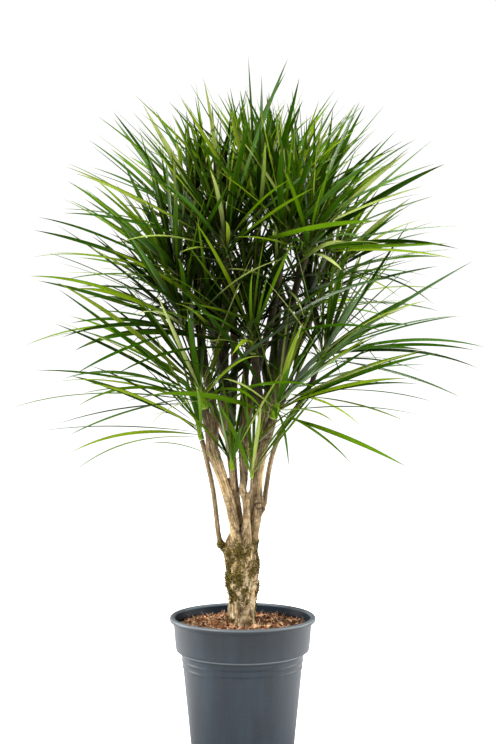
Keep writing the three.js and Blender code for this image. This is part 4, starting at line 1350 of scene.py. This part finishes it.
# %% Growing the rosettes
def rosette_guides(name, seed):
    """The midribs of a rosette and the middle line of its bud, as one mesh of edges."""
    tip, rosette = stem_tip(STEMS[name]), ROSETTES[name]
    end, axis, across, _, radius = tip
    values = {"points": [], "side": [], "half_width": [], "along": [], "youth": [], "tint": [], "is_bud": []}
    edges = []
    fresh = FRESHNESS.get(name, 0.0)

    def add_line(points, sides, half_widths, youth, tint, is_bud):
        first = len(values["points"])
        edges.extend((first + k, first + k + 1) for k in range(len(points) - 1))
        values["points"].extend(point * MM for point in points)
        values["side"].extend(sides)
        values["half_width"].extend(width * MM for width in half_widths)
        values["along"].extend(k / (len(points) - 1) for k in range(len(points)))
        for key, value in (("youth", youth), ("tint", tint), ("is_bud", is_bud)):
            values[key].extend([value] * len(points))

    tints, widths = stream(seed + TINT_SEED), stream(seed + WIDTH_SEED)
    corners = corners_of(f"leaves_{name}")
    found, shown = 0, 0
    leaders = LEADERS.get(name, [])
    blades = [(rosette, seed, i) for i in range(rosette[0] + len(leaders))]
    if end.z > LOW_Z:
        share, length_share, spread, droop = HANGING_KIND if end.y > BACK_Y else YOUNG_KIND
        more = int(rosette[0] * share)
        kind = (more, rosette[1] * length_share, spread, droop)
        blades += [(kind, seed + EXTRA_SEED, i) for i in range(more)]
    for kind, draw, i in blades:
        tries = [midrib(tip, kind, leaders, draw, i, bend) for bend in range(BEND_TRIES)]
        (points, sides, age, width), is_packed = grow_blade(tries, corners)
        if end.z < LOW_Z and i % THINNING == 0 and not is_packed:
            continue
        found += is_packed
        shown += 1
        leading = i >= rosette[0]
        slimness = LEADER_WIDTH if leading else between(SLIMMEST, WIDE, next(widths))
        tint = next(tints) * (LEADER_TINT if leading else 1)
        half_widths = [slimness * width / 2 * blade_outline(k / BLADE_STEPS) for k in range(BLADE_STEPS + 1)]
        youth = min(1, 0.12 * max(0, 1 - age / 0.4) + fresh)
        add_line(points, sides, half_widths, youth, tint, 0.0)
    bud_length = rosette[1] * BUD_SHARE
    bud_points = [end + axis * (GAP + share * bud_length) for share in (0, 0.2, 0.4, 0.7, 1)]
    bud_widths = [radius * share for share in (1, 1, 0.85, 0.6, 0.3)]
    add_line(bud_points, [across] * 5, bud_widths, 0.6 + fresh, 0.7, 1.0)
    points = values.pop("points")
    return mesh_of(name, points, edges, **values), found, shown


blade_tree = make_blade_tree(make_blade_finish())
blade_triangles, packed_blades, all_blades = 0, 0, 0
for number, name in enumerate(ROSETTES):
    guides, found, shown = rosette_guides(name, number + 1)
    leaves = add_piece(f"blades_{name}", grown(guides, blade_tree, BLADE), crease=60)
    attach(leaves, "root")
    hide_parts(f"leaves_{name}")
    blade_triangles += triangles(leaves.data)
    packed_blades += found
    all_blades += shown
print("blade triangles:", blade_triangles, "blades:", all_blades, "of them packed:", packed_blades)
